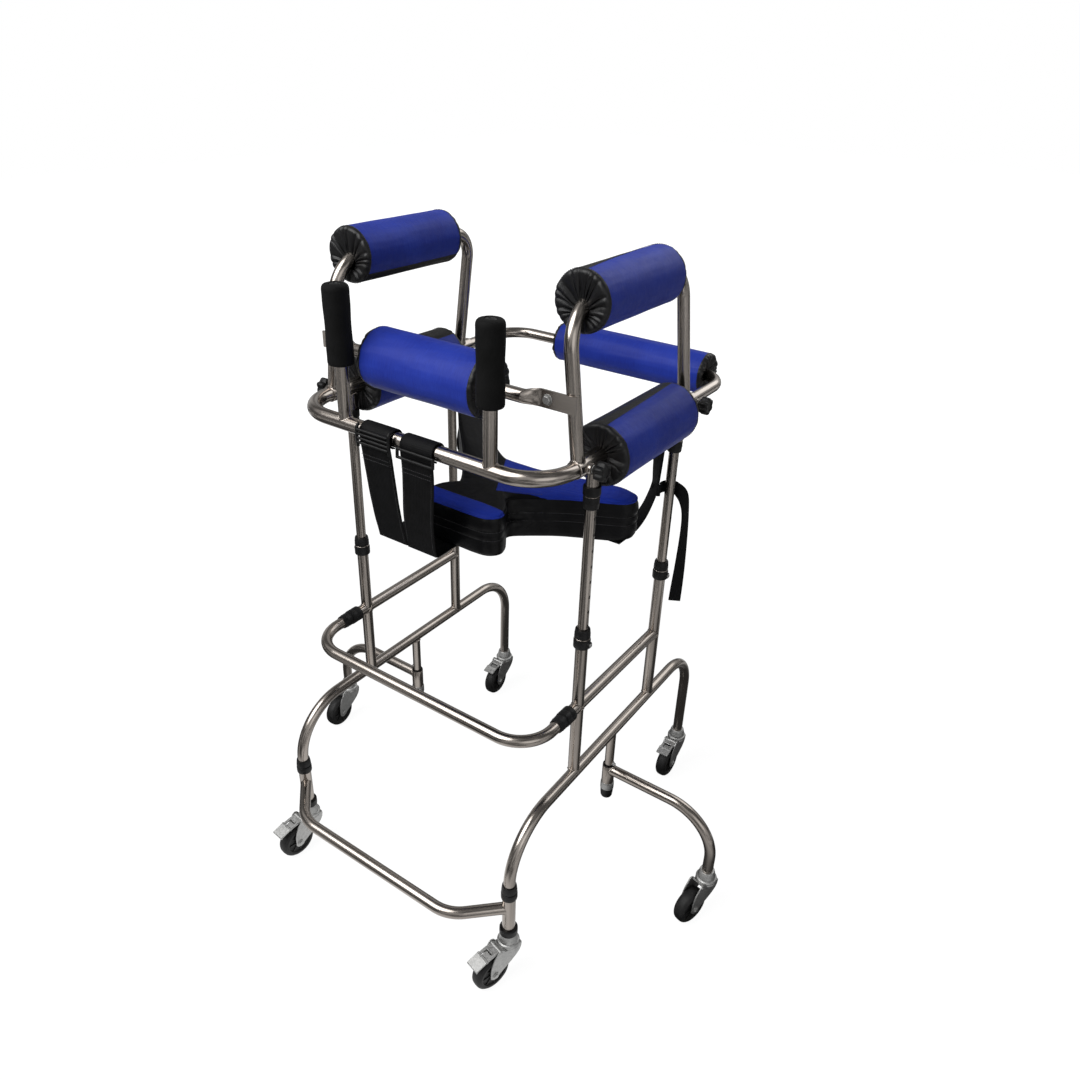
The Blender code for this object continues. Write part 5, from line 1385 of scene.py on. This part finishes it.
bm = bmesh.new()
bm.from_mesh(repeated("buckle_ribs", black_plastic, {
    "Count": RIB_COUNT, "First": FIRST_RIB, "Pitch": RIB_PITCH, "Rib": RIB, "Width": RIB_LENGTH,
}, ladder_ribs))
for way in (-1, 1):
    x = LADDER_X + way * LADDER_HALF
    tube(bm, smooth([(x, GRIP_BAR_Y + y, SIDE_Z + z) for y, z in LADDER_COURSE], 5), LADDER_SIDE, 12)
piece("ladder_buckle", bm, [black_plastic], "grip_slider", "black_plastic")
bm = bmesh.new()
for y, z in SLIDE_BARS:
    tube(bm, [(x, GRIP_BAR_Y + y, SIDE_Z + z) for x in SLIDE_BAR_REACH], SLIDE_BAR, 16)
for x in SLIDE_END_X:
    tube(bm, [(x, GRIP_BAR_Y + y, SIDE_Z + z) for (y, _), z in zip(SLIDE_BARS, SLIDE_END_Z)], SLIDE_END, 16)
piece("slide_buckle", bm, [black_plastic], "grip_slider", "black_plastic")

bm = bmesh.new()
drop = [(COLUMN_X, COLUMN_Y, COLUMN_TOP), (COLUMN_X, COLUMN_Y, 0.745), (COLUMN_X, COLUMN_Y - 0.003, 0.716),
        (COLUMN_X, 0.084, 0.690), (COLUMN_X, 0.050, 0.676), (COLUMN_X, 0.022, UNDER_SEAT),
        (COLUMN_X, -0.016, UNDER_SEAT)]
turns = [(1, 0, 0), (0.8, -0.5, 0), (0.7, -0.6, 0), (0.8, -0.4, 0.2), (1, -0.2, 0), (1, 0, 0), (1, 0, 0)]
smooth_strap(bm, drop, turns, 6, REAR_STRAP_WIDTH, STRAP)
cross = [(COLUMN_X + 0.010, -0.004, UNDER_SEAT - 0.0003), (0.0, -0.004, UNDER_SEAT - 0.0003)]
cross += [under_seat(0.03 * step, STRAP / 2 + 0.0009) for step in range(6)]
cross += [(-0.140, 0.060, 0.762), (-0.168, 0.090, 0.768), (-0.192, COLUMN_Y, 0.790),
          (-COLUMN_X, COLUMN_Y, COLUMN_TOP)]
axes = [(0, 1, 0)] * 8 + [(0.25, 1, 0), (0.7, 0.5, 0), (1, 0, 0), (1, 0, 0)]
smooth_strap(bm, cross, axes, 6, REAR_STRAP_WIDTH, STRAP - 0.0003)
for side in (1, -1):
    loop = []
    for step in range(25):
        angle = math.radians(-110 + 14 * step) if side > 0 else math.radians(290 - 14 * step)
        loop.append(Vector((side * SIDE_X + SIDE_LOOP * math.cos(angle), COLUMN_Y + 0.004,
                            SIDE_Z + SIDE_LOOP * math.sin(angle))))
    ribbon(bm, loop, [(0, 1, 0)] * len(loop), REAR_STRAP_WIDTH * 0.9, STRAP)
piece("rear_webbing", bm, [strap_webbing], "upper_frame", "black_webbing", "rear_strap", crisp=50)

tail = [(TAIL_X, COLUMN_Y - 0.002, TAIL_Z)]
for degrees in (220, 190, 160, 130, 100, 75):
    angle = math.radians(degrees)
    tail.append((HALF_WIDTH + TAIL_RADIUS * math.cos(angle),
                 UPRIGHT_Y + TAIL_RADIUS * math.sin(angle), TAIL_Z))
tail += [(0.2430, 0.1400, 0.6960), (0.2500, 0.1400, 0.6600), (0.2510, 0.1400, 0.5800),
         (0.2490, 0.1400, 0.5020)]
tail_axes = [(0, 0, 1)] * 7 + [(0.1, 0.7, 0.7), (0.1, 0.95, 0.2), (0.45, 0.85, 0), (0.85, 0.5, 0.1)]
bm = bmesh.new()
smooth_strap(bm, tail, tail_axes, 8, TAIL_WIDTH, TAIL_THICK)
piece("strap_tail", bm, [strap_webbing], "upper_frame", "black_webbing", "rear_strap", crisp=50)


# Studio: a pale floor that keeps the walker's shadow, a white surround, and three broad soft
# lamps: the key high in front on the left, a weak fill on the right and one behind.
FLOOR_CORNERS = ((-9, -9), (9, -9), (9, 14), (-9, 14))
AIM = (0, 0, 0.6)

floor_bm = bmesh.new()
floor_bm.faces.new([floor_bm.verts.new((x, y, 0)) for x, y in FLOOR_CORNERS])
floor_mesh = bpy.data.meshes.new("studio_floor")
floor_bm.to_mesh(floor_mesh)
floor_bm.free()
floor_finish = Finish("studio_floor_paint", Roughness=0.9)
spot = floor_finish.place()
floor_finish.done(Base_Color=floor_finish.mixed(floor_finish.grain(spot, 3, 2.0),
                                                (0.66, 0.66, 0.66, 1), (0.68, 0.68, 0.68, 1)))
rays = floor_finish.node("ShaderNodeLightPath", output="Is Camera Ray")
shine = floor_finish.node("ShaderNodeLightPath", output="Is Glossy Ray")
away = floor_finish.node("ShaderNodeVectorMath", {"operation": "LENGTH"}, {0: spot}, output="Value")
away = floor_finish.between(away, 0.9, 2.4)
hall = floor_finish.between(floor_finish.grain(spot, 1.1, 1.0), 0.47, 0.62)
glow = floor_finish.node("ShaderNodeEmission", None, {
    "Color": (1, 1, 1, 1), "Strength": rays * 1.17 + shine * (hall * 0.94 + 0.04)})
paint = Shade(floor_finish, floor_finish.shader.outputs[0])
seen = floor_finish.maths("MAXIMUM", rays * (away * 0.2 + 0.8), shine * 0.95)
mix = floor_finish.node("ShaderNodeMixShader", None, {0: seen, 1: paint, 2: glow})
floor_out = next(node for node in floor_finish.tree.nodes if node.type == "OUTPUT_MATERIAL")
floor_finish.feed(floor_out.inputs["Surface"], mix)
floor_mesh.materials.append(floor_finish.material)
studio_floor = bpy.data.objects.new("studio_floor", floor_mesh)
bpy.context.scene.collection.objects.link(studio_floor)

world = bpy.data.worlds.new("studio")
bpy.context.scene.world = world
world.use_nodes = True
air = Graph(world.node_tree, "ShaderNode")
background = world.node_tree.nodes["Background"]
seen = air.maths("MAXIMUM", air.node("ShaderNodeLightPath", output="Is Camera Ray"),
                 air.node("ShaderNodeLightPath", output="Is Transmission Ray"))
background.inputs["Color"].default_value = (1, 1, 1, 1)
mirrored = air.node("ShaderNodeLightPath", output="Is Glossy Ray")
hall = air.node("ShaderNodeTexNoise", None, {
    "Vector": air.node("ShaderNodeTexCoord", output="Generated"), "Scale": 1.7, "Detail": 1.0})
hall = air.node("ShaderNodeMapRange", None, {"Value": hall, "From Min": 0.42, "From Max": 0.60})
air.feed(background.inputs["Strength"], seen * 0.88 + mirrored * hall * 0.50 + 0.12)


def lamp(name, place, size, power):
    """A round soft lamp, turned towards the walker's middle."""
    light = bpy.data.lights.new(name, "AREA")
    light.shape, light.size, light.energy = "DISK", size, power
    made = bpy.data.objects.new(name, light)
    made.location = place
    made.rotation_euler = (Vector(AIM) - Vector(place)).to_track_quat("-Z", "Y").to_euler()
    bpy.context.scene.collection.objects.link(made)


lamp("key_lamp", (-0.9, -2.0, 3.0), 2.9, 112)
lamp("fill_lamp", (2.7, -1.5, 1.7), 2.2, 9)
lamp("back_lamp", (0.6, 2.4, 2.8), 2.6, 26)

# Camera: the photograph's own view, from above and to the right of the walker's front. Its place
# and its three angles were fitted to the photograph.
CAMERA_PLACE, CAMERA_LENS, SENSOR = (0.7595, -1.0426, 1.3222), 29.27, 36
yaw, pitch, roll = math.radians(33.80), math.radians(29.30), math.radians(-2.02)
look = Vector((-math.sin(yaw) * math.cos(pitch), math.cos(yaw) * math.cos(pitch), -math.sin(pitch)))
level = Vector((math.cos(yaw), math.sin(yaw), 0))
down = look.cross(level)
right = math.cos(roll) * level + math.sin(roll) * down
under = -math.sin(roll) * level + math.cos(roll) * down
stance = Matrix((right, -under, -look)).transposed().to_4x4()
stance.translation = Vector(CAMERA_PLACE)
lens = bpy.data.cameras.new("photo_camera")
lens.sensor_width, lens.lens, lens.clip_end = SENSOR, CAMERA_LENS, 60
camera = bpy.data.objects.new("photo_camera", lens)
camera.matrix_world = stance
bpy.context.scene.collection.objects.link(camera)
bpy.context.scene.camera = camera
bpy.context.scene.view_settings.view_transform = "Standard"
